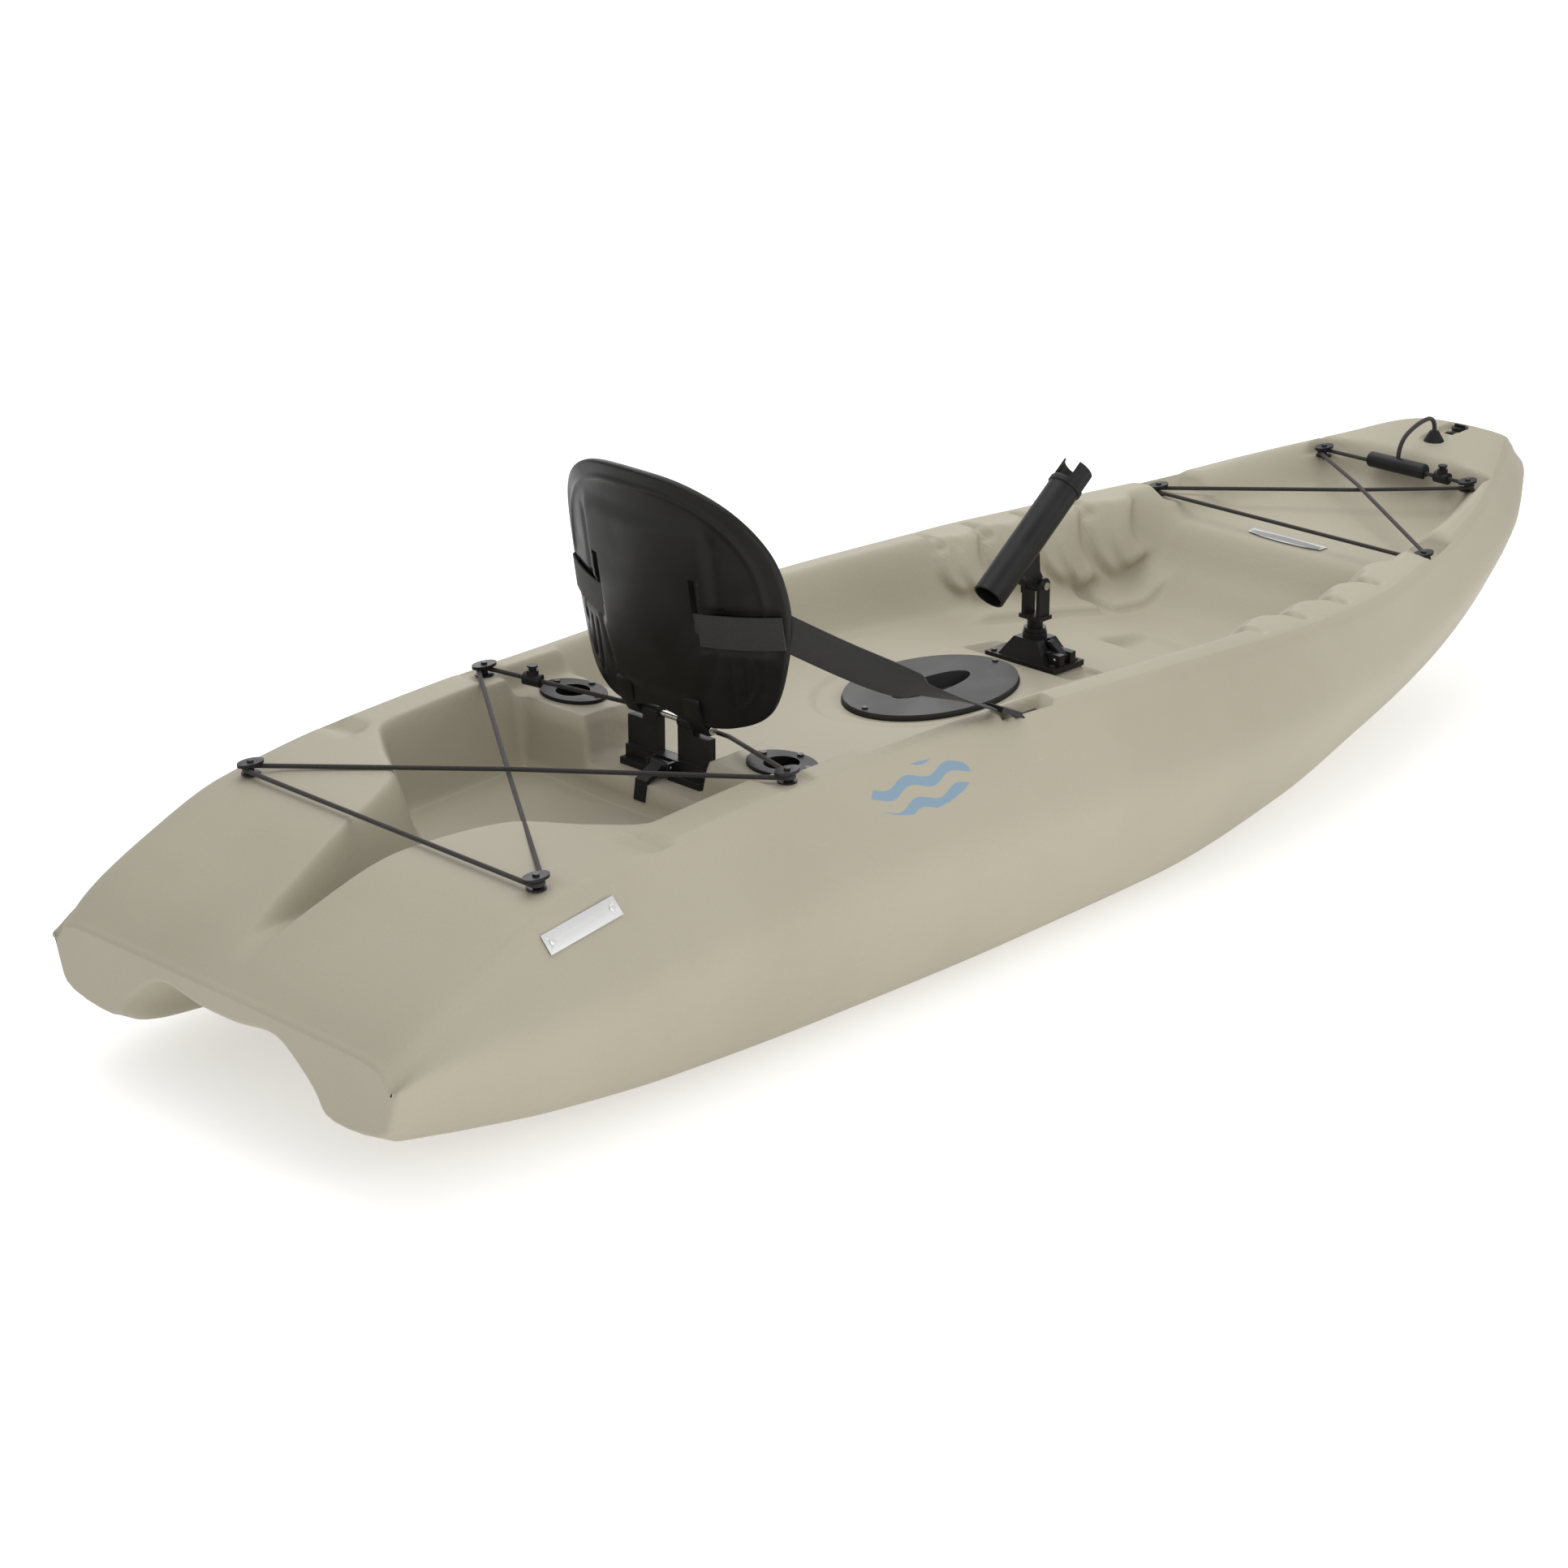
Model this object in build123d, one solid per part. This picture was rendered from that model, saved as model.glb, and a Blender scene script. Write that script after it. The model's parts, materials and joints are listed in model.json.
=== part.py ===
from build123d import *

import math
import os

# Sit-on-top angler kayak: a hollow blow-moulded hull with its deck fittings, folding seat back
# and swivelling rod holder. Frame: +Y towards the bow, +X to starboard, +Z up. The origin is on
# the centre plane, half way along the hull, at the level of its lowest bottom. Millimetres.

# ---------------------------------------------------------------- driving dimensions
LENGTH = 2565.0           # hull, stern to bow tip
BEAM = 787.0              # over the side creases
DEPTH = 350.0             # lowest bottom to the top of the bow
WALL = 4.5                # moulded hull wall
RUN_CLEAR = 0.3           # gap around every piece that moves

CORD_D = 6.0              # shock cord
HOOK_NECK_R = 4.5         # deck hook: neck that the cord goes round
HOOK_GAP = 10.0           # between the hook's base and its cap
SCREW_R = 2.2             # shank of every deck screw
SCREW_HEAD_R = 4.2

CUP_BORE_R = 22.0         # flush rod holder
CUP_WALL = 2.5
CUP_DEPTH = 190.0
CUP_TILT = 15.0           # degrees, mouth leaning aft
CUP_FLANGE = 5.0

HATCH_A, HATCH_B = 98.0, 140.0    # half width and half length of the hatch plate
HATCH_PLATE = 5.0
HATCH_LIP = 18.0          # plate overlap on the hull pad
GASKET = 3.0
GRIP_A, GRIP_B, GRIP_DEPTH = 26.0, 74.0, 22.0

SEAT_HALF_W = 186.0       # seat back
SEAT_HIGH = 343.0         # above its hinge
SEAT_BOW_R = 322.0        # radius of its curve in plan
SEAT_SHELL = 5.0
SEAT_PAD = 17.0
SEAT_LEAN = 9.0           # degrees aft of upright
NECK_HALF_W = 72.0
NECK_LEG_W = 54.0
NECK_HIGH = 76.0          # hinge axis above the saddle
PIN_R = 4.0
STRAP_W, STRAP_T = 44.0, 3.0
WEB_W, WEB_T = 25.0, 2.2

ROD_BASE_X, ROD_BASE_Y, ROD_BASE_Z = 124.0, 66.0, 44.0
POST_R = 11.0
POST_HIGH = 68.0          # pivot bolt above the base's socket
TUBE_R, TUBE_BORE_R = 23.0, 20.0
TUBE_LONG = 232.0
TUBE_BEHIND = 76.0        # part of the tube behind its neck
TUBE_OFF = 65.0           # tube axis to pivot bolt
TUBE_RISE = 38.0          # degrees above level
BOLT_R = 3.0
YOKE_IN, YOKE_OUT = 10.0, 16.0    # inner and outer faces of the yoke's ears

HANDLE_LONG, HANDLE_R = 104.0, 12.0
ROPE_D = 7.0
PLUG_R = 9.0
TETHER_T = 1.4
PRONG = 28.0              # depth of the rod tube's notch
PLATE_X, PLATE_Y = 112.0, 26.0    # nameplate

# ---------------------------------------------------------------- table of offsets
# Drawn for a hull 2565 long, 787 wide and 350 deep, and scaled to the sizes above. Each station:
# along, keel half width and height, chine half width and height, crease half width and height,
# rail half width and height, height of the deck's crown.
DRAWN_LENGTH, DRAWN_BEAM, DRAWN_DEPTH = 2565.0, 787.0, 350.0
STATIONS = [
    (-1282.5, 80, 66, 296, 84, 318, 158, 305, 163, 182),
    (-1245, 80, 58, 286, 62, 328, 168, 306, 192, 208),
    (-1150, 85, 42, 306, 50, 350, 180, 306, 240, 256),
    (-1040, 90, 28, 322, 36, 367, 190, 304, 283, 296),
    (-850, 95, 12, 335, 18, 382, 208, 303, 313, 317),
    (-600, 95, 4, 343, 9, 390, 222, 305, 321, 329),
    (-300, 95, 0, 347, 6, 393.5, 214, 318, 321, 329),
    (0, 95, 0, 340, 8, 393.5, 190, 333, 310, 318),
    (300, 90, 2, 312, 32, 380, 180, 340, 295, 303),
    (520, 75, 14, 278, 64, 348, 186, 322, 288, 296),
    (720, 55, 34, 238, 88, 302, 204, 272, 293, 301),
    (900, 38, 68, 196, 126, 250, 232, 218, 306, 314),
    (1050, 24, 118, 152, 182, 190, 258, 152, 322, 331),
    (1150, 14, 166, 104, 222, 132, 282, 100, 334, 344),
    (1220, 9, 208, 66, 245, 84, 284, 60, 316, 326),
    (1262, 6, 238, 34, 256, 42, 276, 30, 290, 298),
    (1282.5, 4, 255, 9, 259, 11, 264, 8, 268, 270),
]
RAIL_FLAT = 24            # width of the rail's rising edge, drawn
RAIL_EDGE = 7             # rounding of its outer edge, drawn
RAIL_SHARE = 0.9          # share of the crown's height that the deck has gained there

# Wells, drawn: along, half width and height of the floor, half width at the rail.
REAR_WELL = [
    (-600, 205, 205, 236),
    (-820, 198, 201, 234),
    (-870, 110, 205, 186),
    (-920, 50, 210, 104),
    (-1000, 30, 218, 66),
    (-1090, 16, 228, 38),
    (-1170, 10, 222, 24),
]
COCKPIT = [
    (-500, 200, 238, 284),
    (-200, 214, 231, 288),
    (0, 214, 226, 294),
    (140, 206, 214, 298),
    (390, 190, 177, 290),
    (560, 168, 155, 262),
    (700, 165, 256, 236),
    (972, 104, 268, 172),
    (1040, 60, 316, 96),
]
# Tunnels under the stern, drawn: along, then the outer wall's foot and shoulder, the roof and the
# keel between the tunnels, each as half width and height.
TUNNELS = [
    (-1282.5, 205, 186, 110, 116, 176, 44, 162),
    (-1150, 196, 180, 84, 118, 140, 48, 96),
    (-1000, 184, 168, 54, 116, 84, 52, 26),
    (-840, 168, 150, 12, 112, 15, 60, 8),
]


def sx(v):
    return v * BEAM / DRAWN_BEAM


def sy(v):
    return v * LENGTH / DRAWN_LENGTH


def sz(v):
    return v * DEPTH / DRAWN_DEPTH


def interpolate(table, along, column):
    """A value of a drawn table at a drawn place along the hull, straight between stations."""
    rows = sorted(table)
    for low, high in zip(rows, rows[1:]):
        if along <= high[0]:
            share = (along - low[0]) / (high[0] - low[0])
            return low[column] + share * (high[column] - low[column])
    return rows[-1][column]


def rail_x(along):
    return sx(interpolate(STATIONS, along, 7))


def rail_z(along):
    return sz(interpolate(STATIONS, along, 8))


def crown_z(along):
    return sz(interpolate(STATIONS, along, 9))


def floor_z(along):
    return sz(interpolate(COCKPIT, along, 2))


# Places on the hull, drawn along, then real
# Deck hooks: along, across, height of the seat, and the recess's reach inboard, aft and forward.
HOOKS = [
    (-627, 271, 322, 41, 40, 21),
    (-1019, 257, 299, 0, 0, 0),
    (720, 244, 276, 64, 21, 60),
    (989, 133, 303, 45, 44, 21),
]
CUP_ALONG = -549.0
SADDLE_Y = sy(-556.0)
SADDLE_Z = sz(241.0)
SADDLE_HALF_W = NECK_HALF_W + 26
THWART_Z = sz(298.0)
HINGE_Y = SADDLE_Y
HINGE_Z = SADDLE_Z + NECK_HIGH
HATCH_Y = sy(-68.0)
HATCH_Z = floor_z(-68.0)
ROD_Y = sy(146.0)
ROD_Z = floor_z(146.0)
ANCHOR_ALONG = -236.0
PLUG_Y = sy(1160.0)
TETHER_LONG = 30.0
AFT_FLAT_Z = sz(304.0)
PLATE_ALONG = -1003.0
DECK_SEAT_Z = min(crown_z(1120.0), crown_z(1176.0)) - 2
BOOT_Y = sy(1090.0)
BOOT_Z = crown_z(1072.0) - 1


# ---------------------------------------------------------------- helpers
def at(x, y, z):
    return Pos(x, y, z)


def rod_z(radius, low, high, x=0.0, y=0.0):
    """Upright round bar between two heights."""
    return at(x, y, (low + high) / 2) * Cylinder(radius, high - low)


def rod_x(radius, half, y, z, x=0.0):
    """Round bar along X, centred on x."""
    return at(x, y, z) * Rot(0, 90, 0) * Cylinder(radius, 2 * half)


def block(x0, x1, y0, y1, z0, z1):
    return at((x0 + x1) / 2, (y0 + y1) / 2, (z0 + z1) / 2) * Box(x1 - x0, y1 - y0, z1 - z0)


def oval(a, b, low, high, x=0.0, y=0.0):
    return extrude(at(x, y, low) * Ellipse(a, b), high - low)


def group(pieces):
    return Compound(children=[s for p in pieces for s in p.solids()])


def save(name, piece):
    os.makedirs("parts", exist_ok=True)
    export_step(piece, f"parts/{name}.step")


def ruled(sections):
    """Solid through closed polygons, each given as its points, with straight sides between."""
    return Solid.make_loft([Wire.make_polygon(s, close=True) for s in sections], ruled=True)


def inset(points, depth):
    """A closed polygon in the XZ plane moved inwards by depth, corner by corner."""
    moved = []
    for i, (x, y, z) in enumerate(points):
        before, after = points[i - 1], points[(i + 1) % len(points)]
        into, out = Vector(x - before[0], z - before[2]), Vector(after[0] - x, after[2] - z)
        into, out = into.normalized(), out.normalized()
        n1, n2 = Vector(-into.Y, into.X), Vector(-out.Y, out.X)
        step = (n1 + n2) * (depth / (1 + n1.dot(n2)))
        moved.append((x + step.X, y, z + step.Y))
    return moved


# ---------------------------------------------------------------- hull
def hull_section(row):
    """Anticlockwise outline of one station, seen from the bow side of the table's XZ plane."""
    along, keel, keel_z, chine, chine_z, crease, crease_z, rail, rail_top, crown = row
    flat = min(RAIL_FLAT, 0.45 * rail)
    half = [
        (keel, keel_z),
        (chine, chine_z),
        (crease, crease_z),
        (rail, rail_top - min(RAIL_EDGE, 0.3 * rail)),
        (rail - flat, rail_top + RAIL_SHARE * (crown - rail_top)),
    ]
    right = [(sx(x), sy(along), sz(z)) for x, z in half]
    left = [(-x, y, z) for x, y, z in reversed(right)]
    return right + [(0.0, sy(along), sz(crown))] + left


def outer_hull():
    return ruled([hull_section(row) for row in STATIONS])


def inner_hull():
    """The outline moved in by the wall, with both end sections moved in along the hull."""
    sections = [inset(hull_section(row), WALL) for row in STATIONS[:-1]]
    sections[0] = [(x, y + WALL, z) for x, y, z in sections[0]]
    sections[-1] = [(x, y - WALL, z) for x, y, z in sections[-1]]
    return ruled(sections)


def well(table, grow):
    """Space of an open well, or with grow its shell's outside: floor, sloping sides, no top."""
    lid = sz(DRAWN_DEPTH + 60)
    sections = []
    for i, (along, floor_half, floor, rail_half) in enumerate(table):
        past = {0: -1, len(table) - 1: 1}.get(i, 0) * math.copysign(grow, table[-1][0] - table[0][0])
        rise = max(8.0, interpolate(STATIONS, along, 9) - floor)
        top = floor_half + (rail_half - floor_half) * (DRAWN_DEPTH + 60 - floor) / rise
        top = min(top, rail_half + 150)
        y = sy(along) + past
        low, high = sx(floor_half) + grow, sx(top) + grow
        foot = sz(floor) - grow
        sections.append([(-high, y, lid), (-low, y, foot), (low, y, foot), (high, y, lid)])
    return ruled(sections)


def tunnels(grow):
    sections = []
    for i, (along, foot, shoulder, shoulder_z, roof, roof_z, keel, keel_z) in enumerate(TUNNELS):
        past = -10 if i == 0 else (grow if i == len(TUNNELS) - 1 else 0)
        half = [(foot, -60), (shoulder, shoulder_z), (roof, roof_z), (keel, keel_z)]
        right = [(sx(x) + grow, sy(along) + past, sz(z) + grow) for x, z in half[:3]]
        right.append((sx(keel), sy(along) + past, sz(keel_z) + grow))
        sections.append(right + [(-x, y, z) for x, y, z in reversed(right)])
    return ruled(sections)


def saddle(grow):
    """Notch between the rear well and the cockpit, where the seat back stands."""
    half = SADDLE_HALF_W + grow
    return block(-half, half, sy(-640), sy(-470), SADDLE_Z - grow, sz(DRAWN_DEPTH + 60))


def hook_places():
    """Every deck hook: centre x, y and the height of its seat."""
    return [(s * sx(row[1]), sy(row[0]), sz(row[2])) for row in HOOKS for s in (-1, 1)]


def hook_pockets(grow):
    """Round recesses under the hooks, each with a channel for the cords that leave it."""
    pockets = []
    for place, reach in zip(hook_places(), [row[3:] for row in HOOKS for _ in (-1, 1)]):
        x, y, z = place
        inboard, aft, fore = reach
        pockets.append(rod_z(21 + grow, z - grow, z + 60, x, y))
        if inboard:
            low, high = sorted((x, x - math.copysign(inboard + grow, x)))
            pockets.append(block(low, high, y - aft - grow, y + fore + grow, z - grow, z + 60))
    return pockets


def boss(x, y, z, radius=11.0, deep=16.0):
    """Solid lump left inside the hull under a screw or a seat."""
    return rod_z(radius, z - deep, z + 40, x, y)


def cup_place(side):
    return side * (rail_x(CUP_ALONG) - 120), sy(CUP_ALONG), THWART_Z


def cup_screws(side):
    x, y, z = cup_place(side)
    return [(x - 38, y + 6, z), (x + 38, y + 6, z), (x, y + 32, z)]


def cup_axis(side):
    """Location of a flush rod holder: its origin in the mouth, its Z out of the mouth."""
    x, y, z = cup_place(side)
    return at(x, y, z) * Rot(CUP_TILT, 0, 0)


def thwart(grow):
    """Space above the flat between the wells that carries the flush rod holders."""
    half = rail_x(CUP_ALONG) - 50 + grow
    return block(-half, half, sy(-610) - grow, sy(-490) + grow, THWART_Z - grow, sz(DRAWN_DEPTH + 60))


def deck_seat(grow):
    """Flat on the bow's deck for the drain plug and its tether."""
    low, high = PLUG_Y - TETHER_LONG - 8 - grow, PLUG_Y + 16 + grow
    return block(-16 - grow, 16 + grow, low, high, DECK_SEAT_Z - grow, sz(DRAWN_DEPTH + 60))


def plate_place():
    """Location on the starboard side near the stern: origin on the side, Z outwards, X along."""
    def side_point(along, share):
        low = Vector(sx(interpolate(STATIONS, along, 5)), sy(along), sz(interpolate(STATIONS, along, 6)))
        high = Vector(rail_x(along), sy(along), rail_z(along) - RAIL_EDGE)
        return low + (high - low) * share
    middle, ahead = side_point(PLATE_ALONG, 0.83), side_point(PLATE_ALONG + 40, 0.83)
    up = side_point(PLATE_ALONG, 0.95) - side_point(PLATE_ALONG, 0.5)
    out = (ahead - middle).cross(up)
    return Plane(middle - out.normalized() * 1.6, x_dir=ahead - middle, z_dir=out).location


def aft_flat(grow):
    """Shallow flat across the deck aft of the rear well, under the crossing shock cord."""
    return block(-230, 230, sy(-968), sy(-830), AFT_FLAT_Z - grow, AFT_FLAT_Z + 60)


def hatch_pocket(grow):
    return oval(HATCH_A + 4 + grow, HATCH_B + 4 + grow, HATCH_Z - GASKET - grow, HATCH_Z + 90, 0, HATCH_Y)


def rod_pocket(grow):
    half_x, half_y = ROD_BASE_X / 2 + 28 + grow, ROD_BASE_Y / 2 + 2 + grow
    top = ROD_Z + 90
    return block(-half_x, half_x, ROD_Y - half_y, ROD_Y + half_y, ROD_Z - 8 - grow, top)


def rod_pad():
    """Raised flat in the middle of the rod holder's pocket."""
    half_x, half_y = ROD_BASE_X / 2 + 1, ROD_BASE_Y / 2 + 1
    return block(-half_x, half_x, ROD_Y - half_y, ROD_Y + half_y, ROD_Z - 8 - WALL, ROD_Z)


def anchor_place(side):
    return side * (rail_x(ANCHOR_ALONG) - 14), sy(ANCHOR_ALONG), rail_z(ANCHOR_ALONG) - 12


def anchor_pocket(side, grow=0.0):
    x, y, z = anchor_place(side)
    half_x, half_y = 15 + grow, 46 + grow
    return block(x - half_x, x + half_x, y - half_y, y + half_y, z - grow, z + 60)


def rod_base_screw_places():
    return [(dx * (ROD_BASE_X / 2 - 9), ROD_Y + dy * (ROD_BASE_Y / 2 - 9), ROD_Z)
            for dx in (-1, 1) for dy in (-1, 1)]


def screw_places():
    """x, y and seat height of the screws that go straight down into the hull."""
    places = hook_places() + rod_base_screw_places()
    for side in (-1, 1):
        x, y, z = anchor_place(side)
        places.append((x, y + 22, z))
        places.append((side * (NECK_HALF_W - 12), SADDLE_Y + 16, SADDLE_Z))
        places += cup_screws(side)
    places.append((0.0, PLUG_Y - TETHER_LONG, DECK_SEAT_Z))
    return places


def hull():
    cavity = inner_hull() - well(REAR_WELL, WALL) - well(COCKPIT, WALL) - tunnels(WALL)
    cavity = cavity - aft_flat(WALL) - saddle(WALL) - thwart(WALL) - rod_pocket(WALL) - hatch_pocket(WALL)
    for side in (-1, 1):
        cavity -= anchor_pocket(side, WALL)
    for place in screw_places():
        cavity -= boss(*place)
    cavity = cavity - deck_seat(WALL) - rod_z(PLUG_R + 8, DECK_SEAT_Z - 20, DECK_SEAT_Z + 60, 0, PLUG_Y)
    cavity -= rod_z(22, BOOT_Z - 14, BOOT_Z + 60, 0, BOOT_Y)
    cavity -= hatch_pad()
    for pocket in hook_pockets(WALL):
        cavity -= pocket

    body = outer_hull() - well(REAR_WELL, 0) - well(COCKPIT, 0) - tunnels(0) - saddle(0) - thwart(0) - aft_flat(0)
    for side in (-1, 1):
        body -= anchor_pocket(side)
    for pocket in hook_pockets(0):
        body -= pocket
    body = body + hatch_pad() - hatch_pocket(0) - (rod_pocket(0) - rod_pad()) - deck_seat(0)
    body -= rod_z(18, BOOT_Z, BOOT_Z + 60, 0, BOOT_Y)
    body -= plate_place() * block(-PLATE_X / 2, PLATE_X / 2, -PLATE_Y / 2, PLATE_Y / 2, 0, 20)
    body -= cavity
    body -= oval(HATCH_A - HATCH_LIP, HATCH_B - HATCH_LIP, HATCH_Z - 60, HATCH_Z + 90, 0, HATCH_Y)
    for side in (-1, 1):
        body -= cup_axis(side) * rod_z(CUP_BORE_R + CUP_WALL + 0.5, -120, 60)
    for x, y, z in screw_places() + hatch_screw_places():
        body -= rod_z(SCREW_R + RUN_CLEAR, z - 12, z + 60, x, y)
    body -= rod_z(PLUG_R + RUN_CLEAR, DECK_SEAT_Z - 60, DECK_SEAT_Z + 60, 0, PLUG_Y)
    return max(body.solids(), key=lambda s: s.volume)


def screw(place, under, long=11.0):
    """Pan-head deck screw: its head stands on a face that is `under` above the hull's seat."""
    x, y, z = place
    return rod_z(SCREW_R, z - long, z + under, x, y) + rod_z(SCREW_HEAD_R, z + under, z + under + 2.5, x, y)


# ---------------------------------------------------------------- deck hooks and shock cords
HOOK_BASE = 2.0
HOOK_CAP = 4.0
CORD_UP = HOOK_BASE + HOOK_GAP / 2     # cord's centre above the hook's seat


def hook(place):
    """Screw-down hook: a base, a neck that the cord goes round and a long cap over it."""
    x, y, z = place
    neck_top = z + HOOK_BASE + HOOK_GAP
    body = rod_z(12, z, z + HOOK_BASE, x, y) + rod_z(HOOK_NECK_R, z, neck_top, x, y)
    body += oval(11, 19, neck_top, neck_top + HOOK_CAP, x, y)
    return body - rod_z(SCREW_R + RUN_CLEAR, z - 1, neck_top + HOOK_CAP + 1, x, y)


def round_hooks(route, radius):
    """Corner points of a closed cord that goes round each (centre, True) of a route and passes
    through each (point, False), so that an arc of the radius at a corner is centred on its hook."""
    corners = [p for p, _ in route]
    for _ in range(12):
        moved = list(corners)
        for i, (centre, is_hook) in enumerate(route):
            if not is_hook:
                continue
            to_last = (corners[i - 1] - corners[i]).normalized()
            to_next = (corners[(i + 1) % len(corners)] - corners[i]).normalized()
            half = to_last.get_angle(to_next) / 2
            inward = (to_last + to_next).normalized()
            moved[i] = centre - inward * (radius / math.sin(math.radians(half)))
        corners = moved
    return corners


class ShockCord:
    """A cord round its hooks, with both ends in the lock that lies on its last run."""

    def __init__(self, route, lock_x):
        corners = round_hooks(route, HOOK_TURN_R)
        first, last = corners[0], corners[-1]
        run = last - first
        self.lock_axis = run.normalized()
        self.lock_middle = first + run * ((lock_x - first.X) / run.X)
        half = self.lock_axis * (LOCK_LONG / 2)
        points = [self.lock_middle - half] + corners + [self.lock_middle + half]
        self.radii = [HOOK_TURN_R if is_hook else FREE_TURN_R for _, is_hook in route]
        self.line = FilletPolyline(*[tuple(p) for p in points], radius=self.radii)
        self.first, self.last = first, last


def cord_along(line, diameter):
    start = Plane(origin=line @ 0, z_dir=line % 0)
    return sweep(start * Circle(diameter / 2), path=line)


def cord_centre(place):
    x, y, z = place
    return Vector(x, y, z + CORD_UP)


LOCK_R, LOCK_LONG = 9.0, 24.0
HOOK_TURN_R = HOOK_NECK_R + CORD_D / 2 + RUN_CLEAR
FREE_TURN_R = 24.0
NECK_CORD_Y = HINGE_Y + 8 + CORD_D / 2 + 8
NECK_CORD_Z = THWART_Z + 8
rear_port, rear_star, aft_port, aft_star, fore_port, fore_star, bow_port, bow_star = hook_places()


def crossing(a, b, lift):
    """Where the run from a to b crosses the centre plane, moved up by lift."""
    middle = a + (b - a) * (a.X / (a.X - b.X))
    return Vector(0, middle.Y, middle.Z + lift)


def rear_cord():
    a, d = cord_centre(rear_port), cord_centre(rear_star)
    b, c = cord_centre(aft_port), cord_centre(aft_star)
    left, right = (Vector(s * (NECK_HALF_W + 12), NECK_CORD_Y, NECK_CORD_Z) for s in (-1, 1))
    route = [(a, True), (crossing(a, c, -4.0), False), (c, True), (b, True),
             (crossing(b, d, 4.0), False), (d, True), (right, False), (left, False)]
    return ShockCord(route, a.X + 56)


def front_cord():
    e, f = cord_centre(bow_port), cord_centre(bow_star)
    g, h = cord_centre(fore_port), cord_centre(fore_star)
    route = [(f, True), (crossing(f, g, -4.0), False), (g, True), (h, True),
             (crossing(h, e, 4.0), False), (e, True)]
    return ShockCord(route, f.X - 51)


def cord_lock(cord):
    """Barrel on the cord with an upright housing for its sprung button."""
    frame = Plane(origin=cord.lock_middle, z_dir=cord.lock_axis)
    barrel = frame.location * Cylinder(LOCK_R, LOCK_LONG)
    x, y, z = cord.lock_middle
    barrel += rod_z(8, z, z + 13, x, y)
    return barrel - rod_z(5.5, z + 2, z + 20, x, y)


def lock_button(middle):
    x, y, z = middle.X, middle.Y, middle.Z
    return rod_z(5.2, z + 8, z + 17, x, y) + rod_z(7, z + 17, z + 19.5, x, y)


def lock_spring(middle):
    """Compression spring between the housing's floor and the button."""
    x, y, z = middle.X, middle.Y, middle.Z
    wire = 0.35
    coil = Helix(pitch=1.6, height=6 - 2 * wire, radius=3.2)
    turn = sweep(Plane(origin=coil @ 0, z_dir=coil % 0) * Circle(wire), path=coil)
    return at(x, y, z + 2 + wire) * turn


# ---------------------------------------------------------------- flush rod holders
def flush_rod_holder(side):
    x, y, z = cup_place(side)
    body = cup_axis(side) * rod_z(CUP_BORE_R + CUP_WALL, -CUP_DEPTH, 10)
    body += oval(50, 38, z, z + CUP_FLANGE, x, y)
    body -= block(x - 90, x + 90, y - 90, y + 90, z + CUP_FLANGE, z + 60)
    body -= cup_axis(side) * rod_z(CUP_BORE_R, -CUP_DEPTH + CUP_WALL, 60)
    for px, py, _ in cup_screws(side):
        body -= rod_z(SCREW_R + RUN_CLEAR, z - 1, z + 20, px, py)
    return body


# ---------------------------------------------------------------- hatch
def hatch_screw_places():
    return [(0.0, HATCH_Y + s * (HATCH_B - 9), HATCH_Z - GASKET) for s in (-1, 1)]


def hatch_pad():
    """Level seat for the hatch, proud of the sloping floor at its forward end."""
    low = HATCH_Z - GASKET - 14
    return oval(HATCH_A + 4, HATCH_B + 4, low, HATCH_Z - GASKET, 0, HATCH_Y)


def hatch_gasket():
    a, b = HATCH_A - HATCH_LIP + 2, HATCH_B - HATCH_LIP + 2
    ring = oval(HATCH_A + 2, HATCH_B + 2, HATCH_Z - GASKET, HATCH_Z, 0, HATCH_Y)
    ring -= oval(a, b, HATCH_Z - 20, HATCH_Z + 20, 0, HATCH_Y)
    for x, y, z in hatch_screw_places():
        ring -= rod_z(SCREW_R + RUN_CLEAR, z - 1, z + 20, x, y)
    return ring


def hatch_cover():
    """Oval plate with a long sunk finger grip and two screw holes."""
    top = HATCH_Z + HATCH_PLATE
    plate = oval(HATCH_A, HATCH_B, HATCH_Z, top, 0, HATCH_Y)
    plate += oval(GRIP_A + 3, GRIP_B + 3, top - GRIP_DEPTH - 3, top, 0, HATCH_Y)
    plate -= oval(GRIP_A, GRIP_B, top - GRIP_DEPTH, top + 10, 0, HATCH_Y)
    for x, y, z in hatch_screw_places():
        plate -= rod_z(SCREW_R + 0.05, z - 1, z + 20, x, y)
    return plate


# ---------------------------------------------------------------- seat back
KNUCKLE_R = 9.0
SHELL_FOOT = 12.0         # lowest edge of the shell above the hinge
PAD_FOOT = 50.0           # and of the pad
KNUCKLE_SPLIT = 45.0      # fixed knuckles end and the seat's own lugs start here


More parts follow.
